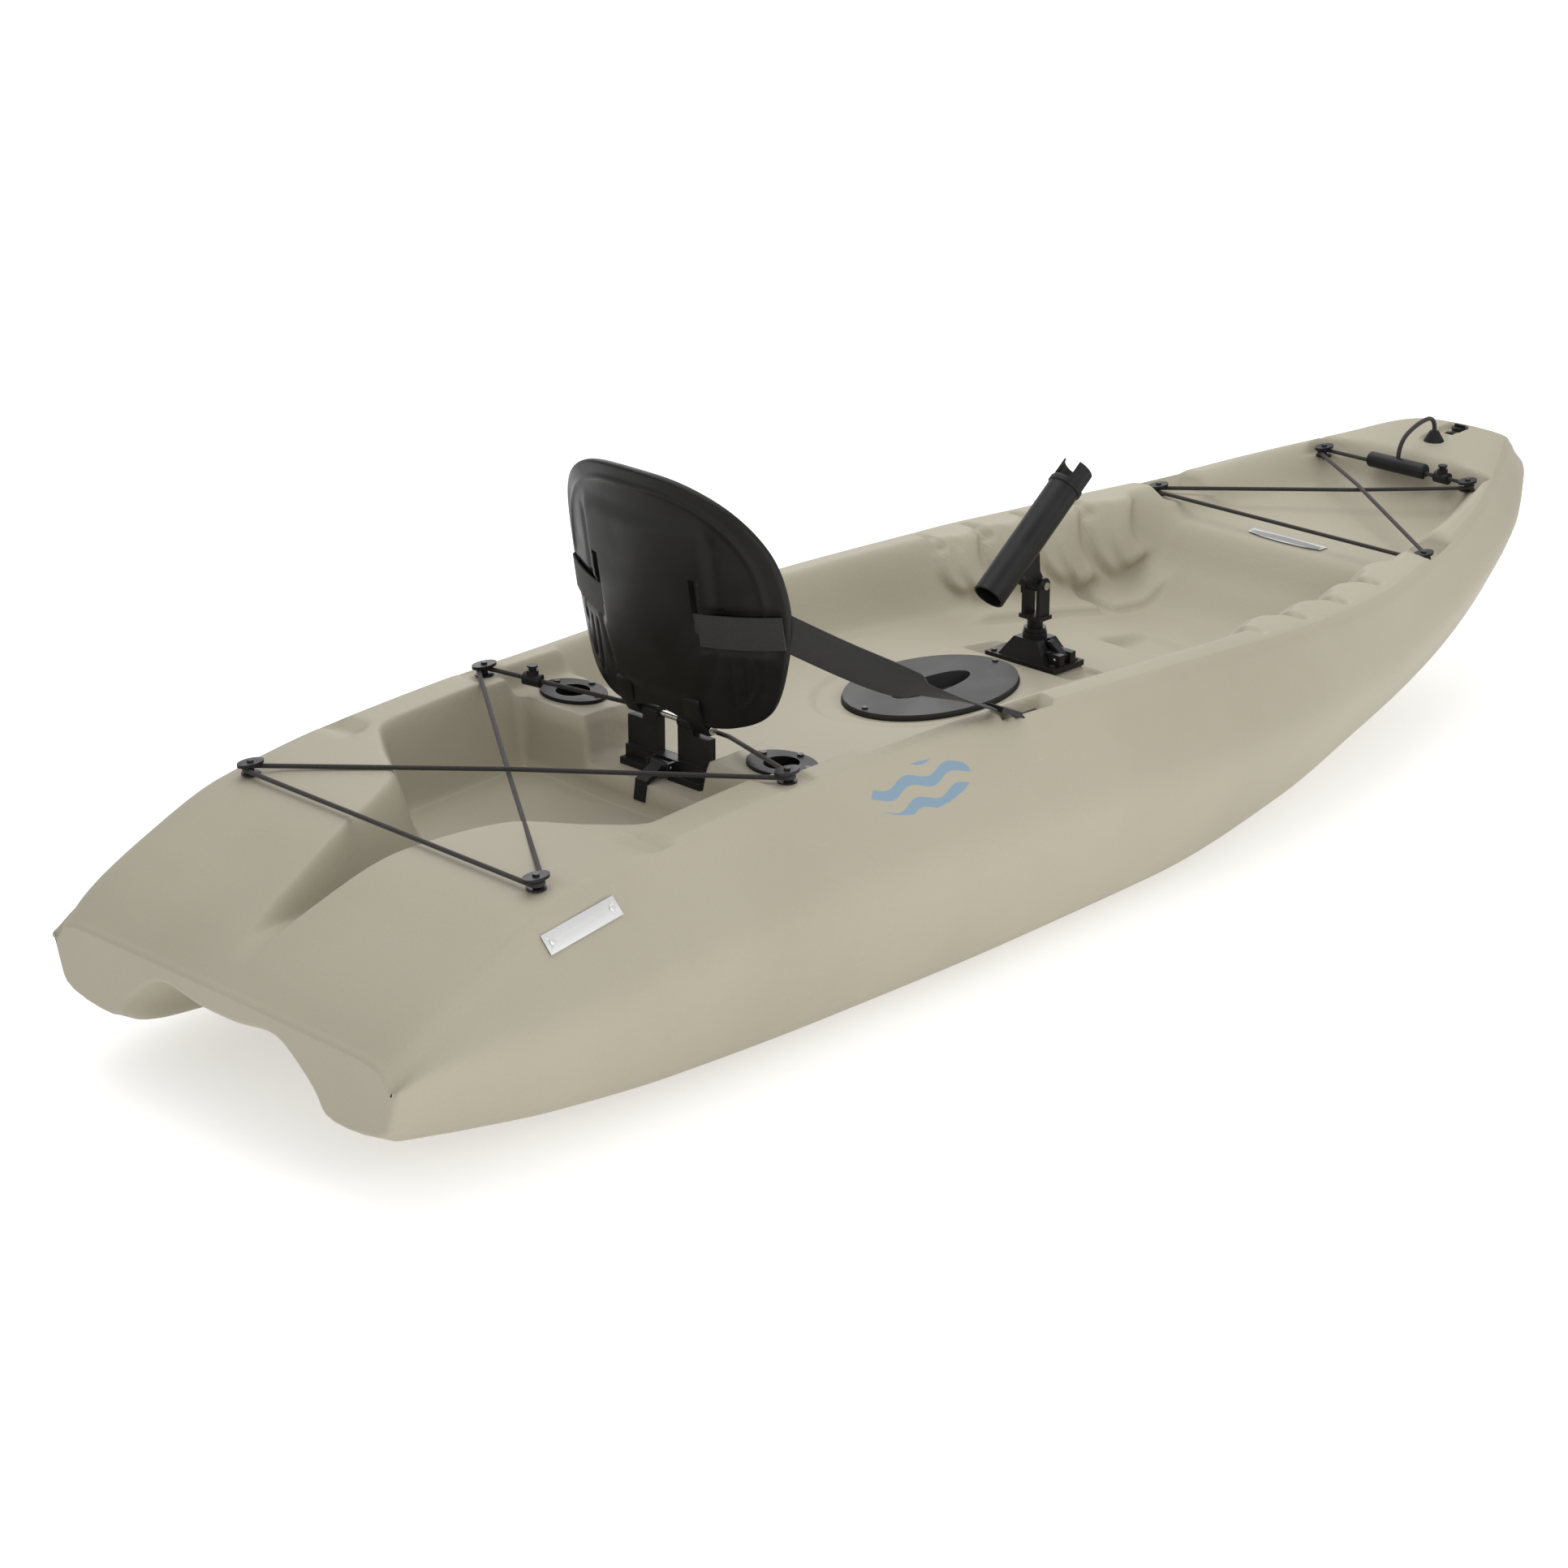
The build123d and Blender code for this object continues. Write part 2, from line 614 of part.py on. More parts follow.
def seat_neck():
    """Foot with two legs, a window between them and the fixed knuckles of the hinge."""
    foot = block(-NECK_HALF_W, NECK_HALF_W, SADDLE_Y - 22, SADDLE_Y + 26, SADDLE_Z, SADDLE_Z + 9)
    foot += block(-NECK_HALF_W, NECK_HALF_W, SADDLE_Y - 12, SADDLE_Y + 8, SADDLE_Z, SADDLE_Z + 24)
    for side in (-1, 1):
        inner, outer = side * (NECK_HALF_W - NECK_LEG_W), side * NECK_HALF_W
        foot += block(min(inner, outer), max(inner, outer), HINGE_Y - 7, HINGE_Y + 7, SADDLE_Z,
                      HINGE_Z - KNUCKLE_R - 4)
        middle = side * (NECK_HALF_W - NECK_LEG_W + KNUCKLE_SPLIT) / 2
        half = (KNUCKLE_SPLIT - NECK_HALF_W + NECK_LEG_W) / 2
        foot += rod_x(KNUCKLE_R, half, HINGE_Y, HINGE_Z, middle)
        foot += at(middle, HINGE_Y, HINGE_Z - 9) * Box(2 * half, 14, 18)
    foot -= rod_x(PIN_R + 0.02, 100, HINGE_Y, HINGE_Z)
    for side in (-1, 1):
        x, y, z = side * (NECK_HALF_W - 12), SADDLE_Y + 16, SADDLE_Z
        foot -= rod_z(SCREW_R + RUN_CLEAR, z - 1, z + 12, x, y)
    return foot - clip_slot()


def clip_slot():
    return block(-15, 15, SADDLE_Y - 40, SADDLE_Y - 12, SADDLE_Z - 20, SADDLE_Z + 30)


CLIP_Y, CLIP_Z = SADDLE_Y - 20, SADDLE_Z + 17


def clip_pin():
    return rod_x(2.5, 20, CLIP_Y, CLIP_Z)


def clip_lugs():
    """Ears of the foot that carry the release clip's pin."""
    ears = [block(s * 17.5 - 2.5, s * 17.5 + 2.5, CLIP_Y - 6, SADDLE_Y - 12, SADDLE_Z + 9, CLIP_Z + 6)
            for s in (-1, 1)]
    return ears[0] + ears[1] - rod_x(2.52, 40, CLIP_Y, CLIP_Z)


def seat_clip():
    """Release clip: a knuckle on its pin and a tab that hangs over the thwart's aft edge."""
    body = rod_x(6, 14, CLIP_Y, CLIP_Z)
    tab = Polyline((0, CLIP_Y - 5, CLIP_Z + 3), (0, sy(-600) - 10, CLIP_Z - 12),
                   (0, sy(-600) - 14, SADDLE_Z - 22), (0, sy(-600) - 9, SADDLE_Z - 22),
                   (0, sy(-600) - 4, CLIP_Z - 15), (0, CLIP_Y + 2, CLIP_Z - 5), close=True)
    body += extrude(make_face(tab), 10, both=True)
    return body - rod_x(2.56, 40, CLIP_Y, CLIP_Z)


def seat_frame():
    """Location of the seat back: origin on the hinge, leaning aft."""
    return at(0, HINGE_Y, HINGE_Z) * Rot(SEAT_LEAN, 0, 0)


def seat_outline(margin, foot):
    """Closed outline of the seat back, margin inside its edge, not lower than foot."""
    w, h = SEAT_HALF_W - margin, SEAT_HIGH - margin
    half = [(0.30 * w, foot), (0.60 * w, foot + 2), (0.84 * w, foot + 26), (0.965 * w, 0.32 * h),
            (w, 0.52 * h), (0.93 * w, 0.72 * h), (0.72 * w, 0.88 * h), (0.40 * w, 0.975 * h)]
    left = [(-x, z) for x, z in reversed(half)]
    points = [(0, foot + 12)] + half + [(0, h)] + left
    return make_face(Plane.XZ * Spline(*points, periodic=True))


def seat_layer(outline, outer, inner):
    """Part of an upright curved sheet inside an outline; its back stands 20 behind the hinge."""
    tall = 2 * SEAT_HIGH
    sheet = rod_z(outer, -20, tall, 0, SEAT_BOW_R - 20) - rod_z(inner, -30, tall + 10, 0, SEAT_BOW_R - 20)
    prism = extrude(outline, 130, both=True)
    return prism & sheet & block(-400, 400, -60, 110, -20, tall)


def strap_slot(side):
    return block(side * 86 - 6, side * 86 + 6, -60, 40, 0.41 * SEAT_HIGH, 0.62 * SEAT_HIGH)


def seat_shell():
    shell = seat_layer(seat_outline(0, SHELL_FOOT), SEAT_BOW_R, SEAT_BOW_R - SEAT_SHELL)
    for side in (-1, 1):
        low, high = KNUCKLE_SPLIT + RUN_CLEAR, NECK_HALF_W
        middle, half = side * (low + high) / 2, (high - low) / 2
        shell += rod_x(KNUCKLE_R, half, 0, 0, middle)
        shell += block(middle - half, middle + half, -17, 6, 2, 20)
        shell += block(middle - half, middle + half, -19, -9, 2, PAD_FOOT - 3)
        shell -= strap_slot(side)
    return seat_frame() * (shell - rod_x(PIN_R + 0.06, 100, 0, 0))


def seat_pad():
    inner = SEAT_BOW_R - SEAT_SHELL - 0.1
    pad = seat_layer(seat_outline(9, PAD_FOOT), inner, inner - SEAT_PAD)
    for side in (-1, 1):
        pad -= strap_slot(side)
    return seat_frame() * pad


def back_strap():
    low = 0.36 * SEAT_HIGH
    band = seat_layer(make_face(Plane.XZ * Polyline((-184, low), (184, low), (184, low + STRAP_W),
                                                    (-184, low + STRAP_W), close=True)),
                      SEAT_BOW_R + 0.1 + STRAP_T, SEAT_BOW_R + 0.1)
    return seat_frame() * band


def hinge_pin():
    half = NECK_HALF_W + 1
    pin = rod_x(PIN_R, half, HINGE_Y, HINGE_Z)
    for side in (-1, 1):
        pin += rod_x(6.5, 1.2, HINGE_Y, HINGE_Z, side * (half + 1.2))
    return pin


# ---------------------------------------------------------------- seat straps
BUCKLE_X, BUCKLE_Y, BUCKLE_Z = 30.0, 42.0, 7.0
BUCKLE_PITCH = 24.0       # degrees, aft end up


def buckle_frame(side):
    x, y, z = anchor_place(side)
    return at(x, y - 40, z + 23) * Rot(-BUCKLE_PITCH, 0, 0)


def strap_buckle(side):
    """Ladder-lock buckle: a frame with two bars' slots."""
    body = Box(BUCKLE_X, BUCKLE_Y, BUCKLE_Z)
    for y in (-11, 10):
        body -= at(0, y, 0) * Box(BUCKLE_X - 8, 10, 30)
    return buckle_frame(side) * body


def strap_anchor(side):
    """Folded web with its clamp plate, screwed down in the rail's pocket."""
    x, y, z = anchor_place(side)
    plate = block(x - 12, x + 12, y - 6, y + 34, z, z + 3)
    low = Vector(x, y - 6, z)
    foot = [(x - 12, low.Y, z), (x + 12, low.Y, z), (x + 12, low.Y, z + 3), (x - 12, low.Y, z + 3)]
    end = buckle_frame(side) * at(0, BUCKLE_Y / 2 + 1.2, 0)
    tip = end.position
    head = [(x - 12, tip.Y, tip.Z - 1.5), (x + 12, tip.Y, tip.Z - 1.5),
            (x + 12, tip.Y, tip.Z + 1.5), (x - 12, tip.Y, tip.Z + 1.5)]
    return plate + ruled([foot, head]) - rod_z(SCREW_R + RUN_CLEAR, z - 1, z + 20, x, y + 22)


def seat_strap(side):
    """Webbing from the edge of the seat back to its buckle, wide and padded at the seat."""
    start = (seat_frame() * at(side * (SEAT_HALF_W + 2), 44, 0.36 * SEAT_HIGH + STRAP_W / 2)).position
    end = (buckle_frame(side) * at(0, -BUCKLE_Y / 2 - 1.2, 0)).position

    def band(share, wide, thick, turn):
        """Flat section of the band, turned from upright towards level as it nears the buckle."""
        x, y, z = start + (end - start) * share
        c, s = math.cos(math.radians(turn)), math.sin(math.radians(turn))
        half = [(-thick / 2, -wide / 2), (thick / 2, -wide / 2), (thick / 2, wide / 2), (-thick / 2, wide / 2)]
        return [(x + u * c - v * s, y, z + u * s + v * c) for u, v in half]

    turn = side * 82
    return ruled([band(0, STRAP_W, STRAP_T + 2, 0), band(0.55, STRAP_W, STRAP_T + 2, 0.1 * turn),
                  band(0.78, WEB_W, WEB_T + 1, 0.6 * turn), band(1, WEB_W - 4, WEB_T, turn)])


# ---------------------------------------------------------------- adjustable rod holder
PIVOT_Z = ROD_Z + ROD_BASE_Z + POST_HIGH
LOCK_X = 50.0


def rod_base():
    """Screw-down base: plate, wedge, socket for the post and a slotted block for the lock lever."""
    plate = block(-ROD_BASE_X / 2, ROD_BASE_X / 2, -ROD_BASE_Y / 2, ROD_BASE_Y / 2, 0, 8)
    wedge = loft([at(0, 0, 8) * Rectangle(84, 56), at(0, 0, 36) * Rectangle(42, 40)], ruled=True)
    body = plate + wedge + rod_z(17, 8, ROD_BASE_Z)
    body += block(34, 60, -17, 17, 8, 24)
    body -= block(30, 64, -6.3, 6.3, 8, 30)
    body -= block(20, 42, -6.3, 6.3, 22, 40) - rod_z(17, 8, ROD_BASE_Z)
    body -= rod_z(POST_R + 0.08, 6, 60)
    body -= at(LOCK_X, 0, 16) * Rot(90, 0, 0) * Cylinder(2.5, 80)
    body = at(0, ROD_Y, ROD_Z) * body
    for x, y, z in rod_base_screw_places():
        body -= rod_z(SCREW_R + RUN_CLEAR, z - 1, z + 20, x, y)
    return body


def lock_pin():
    return at(LOCK_X, ROD_Y, ROD_Z + 16) * Rot(90, 0, 0) * Cylinder(2.46, 34)


def lock_lever():
    """Thumb lever that clamps the post: a hub on its pin and an arm that leans on the wedge."""
    arm = Polyline((46, 12), (54, 12), (56, 20), (34, 35), (27, 36), (26, 33), (44, 20), close=True)
    body = extrude(make_face(Plane.XZ * arm), 5.8, both=True)
    body += at(LOCK_X, 0, 16) * Rot(90, 0, 0) * Cylinder(5.5, 11.6)
    body -= at(LOCK_X, 0, 16) * Rot(90, 0, 0) * Cylinder(2.54, 80)
    return at(0, ROD_Y, ROD_Z) * body


def rod_post():
    """Post that turns in the base, with the yoke on its top."""
    top = ROD_BASE_Z + POST_HIGH
    body = rod_z(POST_R, 7, ROD_BASE_Z + 18) + rod_z(15.5, ROD_BASE_Z + RUN_CLEAR, ROD_BASE_Z + 6)
    body += block(-YOKE_OUT - 3, YOKE_OUT + 3, -13, 13, ROD_BASE_Z + 18, ROD_BASE_Z + 24)
    for side in (-1, 1):
        middle, half = side * (YOKE_IN + YOKE_OUT) / 2, (YOKE_OUT - YOKE_IN) / 2
        body += block(middle - half, middle + half, -11, 11, ROD_BASE_Z + 20, top)
        body += rod_x(11, half, 0, top, middle)
    body -= rod_x(BOLT_R + 0.02, 60, 0, top)
    return at(0, ROD_Y, ROD_Z) * body


def pivot_bolt():
    bolt = rod_x(BOLT_R, 20, ROD_Y, PIVOT_Z, -2) + rod_x(5.5, 2, ROD_Y, PIVOT_Z, YOKE_OUT + 2)
    return bolt


def tilt_knob():
    """Winged knob that clamps the tilt."""
    x = -YOKE_OUT - 5 - RUN_CLEAR
    knob = rod_x(9, 5, ROD_Y, PIVOT_Z, x) + at(x, ROD_Y, PIVOT_Z) * Box(7, 7, 36)
    return knob - rod_x(BOLT_R + 0.06, 60, ROD_Y, PIVOT_Z)


def rod_tube_frame():
    """Location on the pivot bolt, with Y along the tube towards its upper end."""
    return at(0, ROD_Y, PIVOT_Z) * Rot(TUBE_RISE, 0, 0)


def rod_tube():
    """Open tube with a two-pronged mouth, on a neck that sits in the yoke."""
    fore = TUBE_LONG - TUBE_BEHIND

    def lengthwise(radius, y0, y1):
        return at(0, (y0 + y1) / 2, TUBE_OFF) * Rot(90, 0, 0) * Cylinder(radius, y1 - y0)

    boss_half = YOKE_IN - RUN_CLEAR
    neck = Polyline((-16, TUBE_OFF - 12), (36, TUBE_OFF - 12), (12, 16), (9, 0), (-9, 0), (-9, 16),
                    close=True)
    body = lengthwise(TUBE_R, -TUBE_BEHIND, fore) + lengthwise(TUBE_R + 2, fore - 38, fore - 30)
    body += extrude(make_face(Plane.YZ * neck), boss_half - 2, both=True)
    body += rod_x(10.5, boss_half, 0, 0)
    body -= lengthwise(TUBE_BORE_R, -TUBE_BEHIND - 5, fore + 5)
    body -= at(0, fore, TUBE_OFF) * Box(26, 2 * PRONG, 90)
    body -= rod_x(BOLT_R + 0.06, 60, 0, 0)
    return rod_tube_frame() * body


# ---------------------------------------------------------------- bow fittings
PIVOT_ROPE_Z = BOOT_Z + 16
ROPE_GRIP = 4.0           # depth of the rope's socket in the handle


def bow_boot():
    """Rubber cone that the carrying handle's rope comes out of."""
    return at(0, BOOT_Y, BOOT_Z + 8) * Cone(16, 7, 16)


def handle_centre():
    cord = front_cord()
    return Vector(0, (cord.first.Y + cord.last.Y) / 2, cord.last.Z + 3)


def bow_handle():
    """Carrying toggle that snaps over the front shock cord."""
    centre = handle_centre()
    swing = math.degrees(math.atan2(PIVOT_ROPE_Z - centre.Z, BOOT_Y - centre.Y))
    body = rod_x(HANDLE_R, HANDLE_LONG / 2, 0, 0)
    body = fillet(body.edges().filter_by(GeomType.CIRCLE), 4)
    slot = at(0, 0, -10) * Box(2 * HANDLE_LONG, CORD_D + 1.6, 20) + rod_x(CORD_D / 2 + 0.8, HANDLE_LONG, 0, 0)
    body -= at(0, 0, -3) * (Rot(swing, 0, 0) * slot)
    body -= rod_z(ROPE_D / 2 + 0.1, HANDLE_R - ROPE_GRIP, 30)
    return at(centre.X, centre.Y, centre.Z) * body


def rope_route():
    end = handle_centre()
    top = PIVOT_ROPE_Z
    return [(0, BOOT_Y, top), (0, BOOT_Y, top + 24), (0, BOOT_Y - 46, top + 22),
            (0, end.Y, end.Z + 36), (0, end.Y, end.Z + HANDLE_R - ROPE_GRIP)]


def drain_plug():
    z = DECK_SEAT_Z + TETHER_T
    body = rod_z(PLUG_R, z - 16, z, 0, PLUG_Y) + rod_z(13, z, z + 4, 0, PLUG_Y)
    return body + block(-9, 9, PLUG_Y - 2, PLUG_Y + 2, z, z + 8)


def plug_tether():
    """Flat rubber strap from the plug's neck to its own screw."""
    z, tail = DECK_SEAT_Z, PLUG_Y - TETHER_LONG
    body = rod_z(12, z, z + TETHER_T, 0, PLUG_Y) + rod_z(7, z, z + TETHER_T, 0, tail)
    body += block(-3.5, 3.5, tail, PLUG_Y, z, z + TETHER_T)
    body -= rod_z(PLUG_R + RUN_CLEAR, z - 1, z + 10, 0, PLUG_Y)
    return body - rod_z(SCREW_R + RUN_CLEAR, z - 1, z + 10, 0, tail)


def nameplate():
    plate = block(-PLATE_X / 2 + 0.5, PLATE_X / 2 - 0.5, -PLATE_Y / 2 + 0.5, PLATE_Y / 2 - 0.5, 0, 1.5)
    for s in (-1, 1):
        plate -= rod_z(1.8, -3, 5, s * (PLATE_X / 2 - 10), 0)
    return plate_place() * plate


def rivets():
    heads = [rod_z(1.7, 0, 1.5, s * (PLATE_X / 2 - 10), 0) + rod_z(3.6, 1.5, 2.6, s * (PLATE_X / 2 - 10), 0)
             for s in (-1, 1)]
    return [plate_place() * h for h in heads]


def bow_badge():
    """Thin curved label plate at the after edge of the front deck."""
    rise = math.degrees(math.atan2(floor_z(760) - floor_z(710), sy(50)))
    outline = Polyline((-68, 6), (-66, -10), (-40, -15), (0, -17), (40, -15), (66, -10), (68, 6), close=True)
    badge = extrude(make_face(outline), 1.0)
    return at(0, sy(724), floor_z(724)) * Rot(rise, 0, 0) * badge


# ---------------------------------------------------------------- write every piece
def main():
    save("hull", hull())
    hooks = hook_places()
    save("deck_hooks_rear", group([hook(p) for p in hooks[:4]]))
    save("deck_hooks_front", group([hook(p) for p in hooks[4:]]))
    cap_top = HOOK_BASE + HOOK_GAP + HOOK_CAP
    save("hook_screws", group([screw(p, cap_top) for p in hooks]))

    for name, cord in (("rear", rear_cord()), ("front", front_cord())):
        print(name, "cord radii", cord.radii, "length", round(cord.line.length, 1))
        save(f"{name}_shock_cord", cord_along(cord.line, CORD_D))
        save(f"{name}_cord_lock", cord_lock(cord))
        save(f"{name}_lock_button", lock_button(cord.lock_middle))
        save(f"{name}_lock_spring", lock_spring(cord.lock_middle))

    for side, name in ((-1, "port"), (1, "starboard")):
        save(f"flush_rod_holder_{name}", flush_rod_holder(side))
        save(f"strap_buckle_{name}", strap_buckle(side))
        save(f"strap_anchor_{name}", strap_anchor(side))
        save(f"seat_strap_{name}", seat_strap(side))
    save("rod_holder_screws", group([screw(p, CUP_FLANGE) for s in (-1, 1) for p in cup_screws(s)]))
    anchors = [(x, y + 22, z) for x, y, z in (anchor_place(-1), anchor_place(1))]
    save("anchor_screws", group([screw(p, 3.0) for p in anchors]))

    save("hatch_gasket", hatch_gasket())
    save("hatch_cover", hatch_cover())
    save("hatch_screws", group([screw(p, GASKET + HATCH_PLATE) for p in hatch_screw_places()]))

    save("seat_neck", seat_neck() + clip_lugs())
    feet = [(s * (NECK_HALF_W - 12), SADDLE_Y + 16, SADDLE_Z) for s in (-1, 1)]
    save("neck_screws", group([screw(p, 9.0) for p in feet]))
    save("seat_hinge_pin", hinge_pin())
    save("seat_shell", seat_shell())
    save("seat_pad", seat_pad())
    save("seat_back_strap", back_strap())
    save("seat_clip", seat_clip())
    save("seat_clip_pin", clip_pin())

    save("rod_base", rod_base())
    save("rod_base_screws", group([screw(p, 8.0) for p in rod_base_screw_places()]))
    save("rod_lock_lever", lock_lever())
    save("rod_lock_pin", lock_pin())
    save("rod_post", rod_post())
    save("rod_pivot_bolt", pivot_bolt())
    save("rod_tilt_knob", tilt_knob())
    save("rod_tube", rod_tube())

    save("bow_boot", bow_boot())
    save("bow_handle", bow_handle())
    route = rope_route()
    radii = [21.0, 24.0, 21.0]
    rope = FilletPolyline(*route, radius=radii)
    print("rope radii", radii, "length", round(rope.length, 1))
    save("bow_rope", cord_along(rope, ROPE_D))
    save("drain_plug", drain_plug())
    save("plug_tether", plug_tether())
    save("tether_screw", screw((0.0, PLUG_Y - TETHER_LONG, DECK_SEAT_Z), TETHER_T))
    save("nameplate", nameplate())
    save("nameplate_rivets", group(rivets()))
    save("bow_badge", bow_badge())


main()
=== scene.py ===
# %% [markdown]
# # A sit-on-top angler kayak
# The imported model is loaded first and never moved. It holds every fitting at its real place, so the
# looks are built round it: a smooth moulded hull, a blow-moulded seat back, webbing, cloth and rope.
# Sizes below are in millimetres, as a boat builder's table of offsets gives them, and become metres
# in one place only, where a mesh is written.

# %% Load the frame
import bmesh
import bpy
import json
import math
import numpy as np
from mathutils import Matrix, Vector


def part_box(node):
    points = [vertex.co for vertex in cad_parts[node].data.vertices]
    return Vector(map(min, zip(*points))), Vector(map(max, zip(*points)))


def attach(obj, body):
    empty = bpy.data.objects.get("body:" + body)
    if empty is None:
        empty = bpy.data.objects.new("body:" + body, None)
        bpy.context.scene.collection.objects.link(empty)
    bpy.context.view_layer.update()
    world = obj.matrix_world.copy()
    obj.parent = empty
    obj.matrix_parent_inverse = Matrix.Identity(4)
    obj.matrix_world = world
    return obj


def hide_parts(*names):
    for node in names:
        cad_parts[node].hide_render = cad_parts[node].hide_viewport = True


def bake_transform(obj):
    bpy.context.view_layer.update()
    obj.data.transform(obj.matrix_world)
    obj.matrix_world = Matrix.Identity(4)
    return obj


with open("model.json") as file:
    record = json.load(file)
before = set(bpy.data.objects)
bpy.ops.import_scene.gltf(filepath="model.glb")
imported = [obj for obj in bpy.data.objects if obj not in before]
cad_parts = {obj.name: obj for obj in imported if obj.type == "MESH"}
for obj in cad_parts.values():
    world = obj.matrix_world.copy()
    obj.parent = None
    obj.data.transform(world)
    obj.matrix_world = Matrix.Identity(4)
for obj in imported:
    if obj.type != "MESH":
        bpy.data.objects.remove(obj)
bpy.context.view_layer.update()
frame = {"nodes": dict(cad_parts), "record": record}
nodes = frame["nodes"]
record_slots = {part["node"]: part["material_slot"] for part in frame["record"]["subparts"]}

# %% [markdown]
# ## Camera, lights and floor
# A long lens from behind and above the starboard quarter flattens the boat a little, as in a
# catalogue. One large soft lamp from above and a pale world keep the shadows faint, so that the
# shapes of the mouldings are read from slow changes of shade.

# %% Camera
VIEW_FROM = (3.15400, -3.60644, 1.94055)
VIEW_DOWN, VIEW_TURN = 21.36, 44.11
camera = bpy.data.objects.new("camera", bpy.data.cameras.new("camera"))
camera.location = VIEW_FROM
camera.rotation_euler = (math.radians(90 - VIEW_DOWN), 0, math.radians(VIEW_TURN))
camera.data.sensor_width = 36
camera.data.lens = 85.71
camera.data.clip_end = 50
bpy.context.scene.collection.objects.link(camera)
bpy.context.scene.camera = camera


# %% [markdown]
# Each lamp is aimed at the middle of the boat: its tilt is the angle between straight down and the
# line to that point.


# %% Lamps and world
def area_lamp(name, place, aim, size, power):
    """Square lamp of a size in metres at a place, facing the aim point."""
    lamp = bpy.data.lights.new(name, "AREA")
    lamp.size, lamp.energy = size, power
    holder = bpy.data.objects.new(name, lamp)
    holder.location = place
    direction = np.subtract(aim, place)
    flat = math.hypot(direction[0], direction[1])
    down, turn = math.atan2(flat, -direction[2]), math.atan2(direction[0], -direction[1])
    holder.rotation_euler = (down, 0, turn + math.pi)
    bpy.context.scene.collection.objects.link(holder)


MIDDLE = (0, 0, 0.2)
area_lamp("top_lamp", (-0.8, 0.6, 4.2), MIDDLE, 4.0, 95)
area_lamp("side_lamp", (4.0, -0.6, 1.6), MIDDLE, 3.0, 42)
area_lamp("bow_lamp", (-3.4, 2.8, 2.4), MIDDLE, 2.4, 40)

world = bpy.data.worlds.new("studio")
bpy.context.scene.world = world
world.use_nodes = True
world.node_tree.nodes["Background"].inputs["Color"].default_value = (1.0, 1.0, 1.0, 1)
world.node_tree.nodes["Background"].inputs["Strength"].default_value = 0.70
bpy.context.scene.view_settings.view_transform = "Standard"

# %% [markdown]
# ## Shader maths as Python expressions
# A material is easier to read as arithmetic than as a web of nodes. The class wraps one socket, and
# each operator adds the Math node that it stands for. Every other node comes from one method.


# %% Shader helper
class Wire:
    """One output socket of a material, with operators that add Math nodes."""

    def __init__(self, tree, socket):
        self.tree, self.socket = tree, socket

    def node(self, kind, settings=None, **inputs):
        """A node of a type, with its settings set first and then its inputs, by name or as in_0."""
        made = self.tree.nodes.new(kind)
        for key, value in (settings or {}).items():
            if key == "stops":
                ramp = made.color_ramp
                while len(ramp.elements) < len(value):
                    ramp.elements.new(0.5)
                for element, (place, colour) in zip(ramp.elements, value):
                    element.position, element.color = place, (*colour, 1)
            else:
                setattr(made, key, value)
        for key, value in inputs.items():
            name = int(key[3:]) if key.startswith("in_") else key.replace("_", " ")
            if isinstance(value, Wire):
                self.tree.links.new(value.socket, made.inputs[name])
            else:
                made.inputs[name].default_value = value
        return made

    def out(self, kind, output=0, settings=None, **inputs):
        """One output of a new node, by its place."""
        return Wire(self.tree, self.node(kind, settings, **inputs).outputs[output])

    def math(self, operation, a, b=0.0, clamp=False):
        """A Math node on a and b, its result held within 0 to 1 where clamp is set."""
        return self.out("ShaderNodeMath", 0, {"operation": operation, "use_clamp": clamp}, in_0=a, in_1=b)

    def __add__(self, other):
        return self.math("ADD", self, other)

    def __radd__(self, other):
        return self.math("ADD", other, self)

    def __sub__(self, other):
        return self.math("SUBTRACT", self, other)

    def __rsub__(self, other):
        return self.math("SUBTRACT", other, self)

    def __mul__(self, other):
        return self.math("MULTIPLY", self, other)

    def __rmul__(self, other):
        return self.math("MULTIPLY", other, self)

    def __truediv__(self, other):
        return self.math("DIVIDE", self, other)

    def __pow__(self, other):
        return self.math("POWER", self, other)

    def step(self, low, high):
        """0 below low, 1 above high and smooth between."""
        return self.out("ShaderNodeMapRange", 0, {"interpolation_type": "SMOOTHSTEP"},
                        in_0=self, in_1=low, in_2=high)

    def noise(self, scale, detail=3.0, rough=0.5):
        """Noise of about 0.5 on this vector, scale in cells per metre."""
        return self.out("ShaderNodeTexNoise", 0, None,
                        Vector=self, Scale=scale, Detail=detail, Roughness=rough)

    def mix(self, a, b):
        """Colour a where this is 0 and colour b where it is 1."""
        return self.out("ShaderNodeMix", 2, {"data_type": "RGBA"}, in_0=self, in_6=colour(a), in_7=colour(b))


def colour(value):
    """A colour with its fourth number, or the wire that it is."""
    return value if isinstance(value, Wire) or len(value) == 4 else (*value, 1.0)


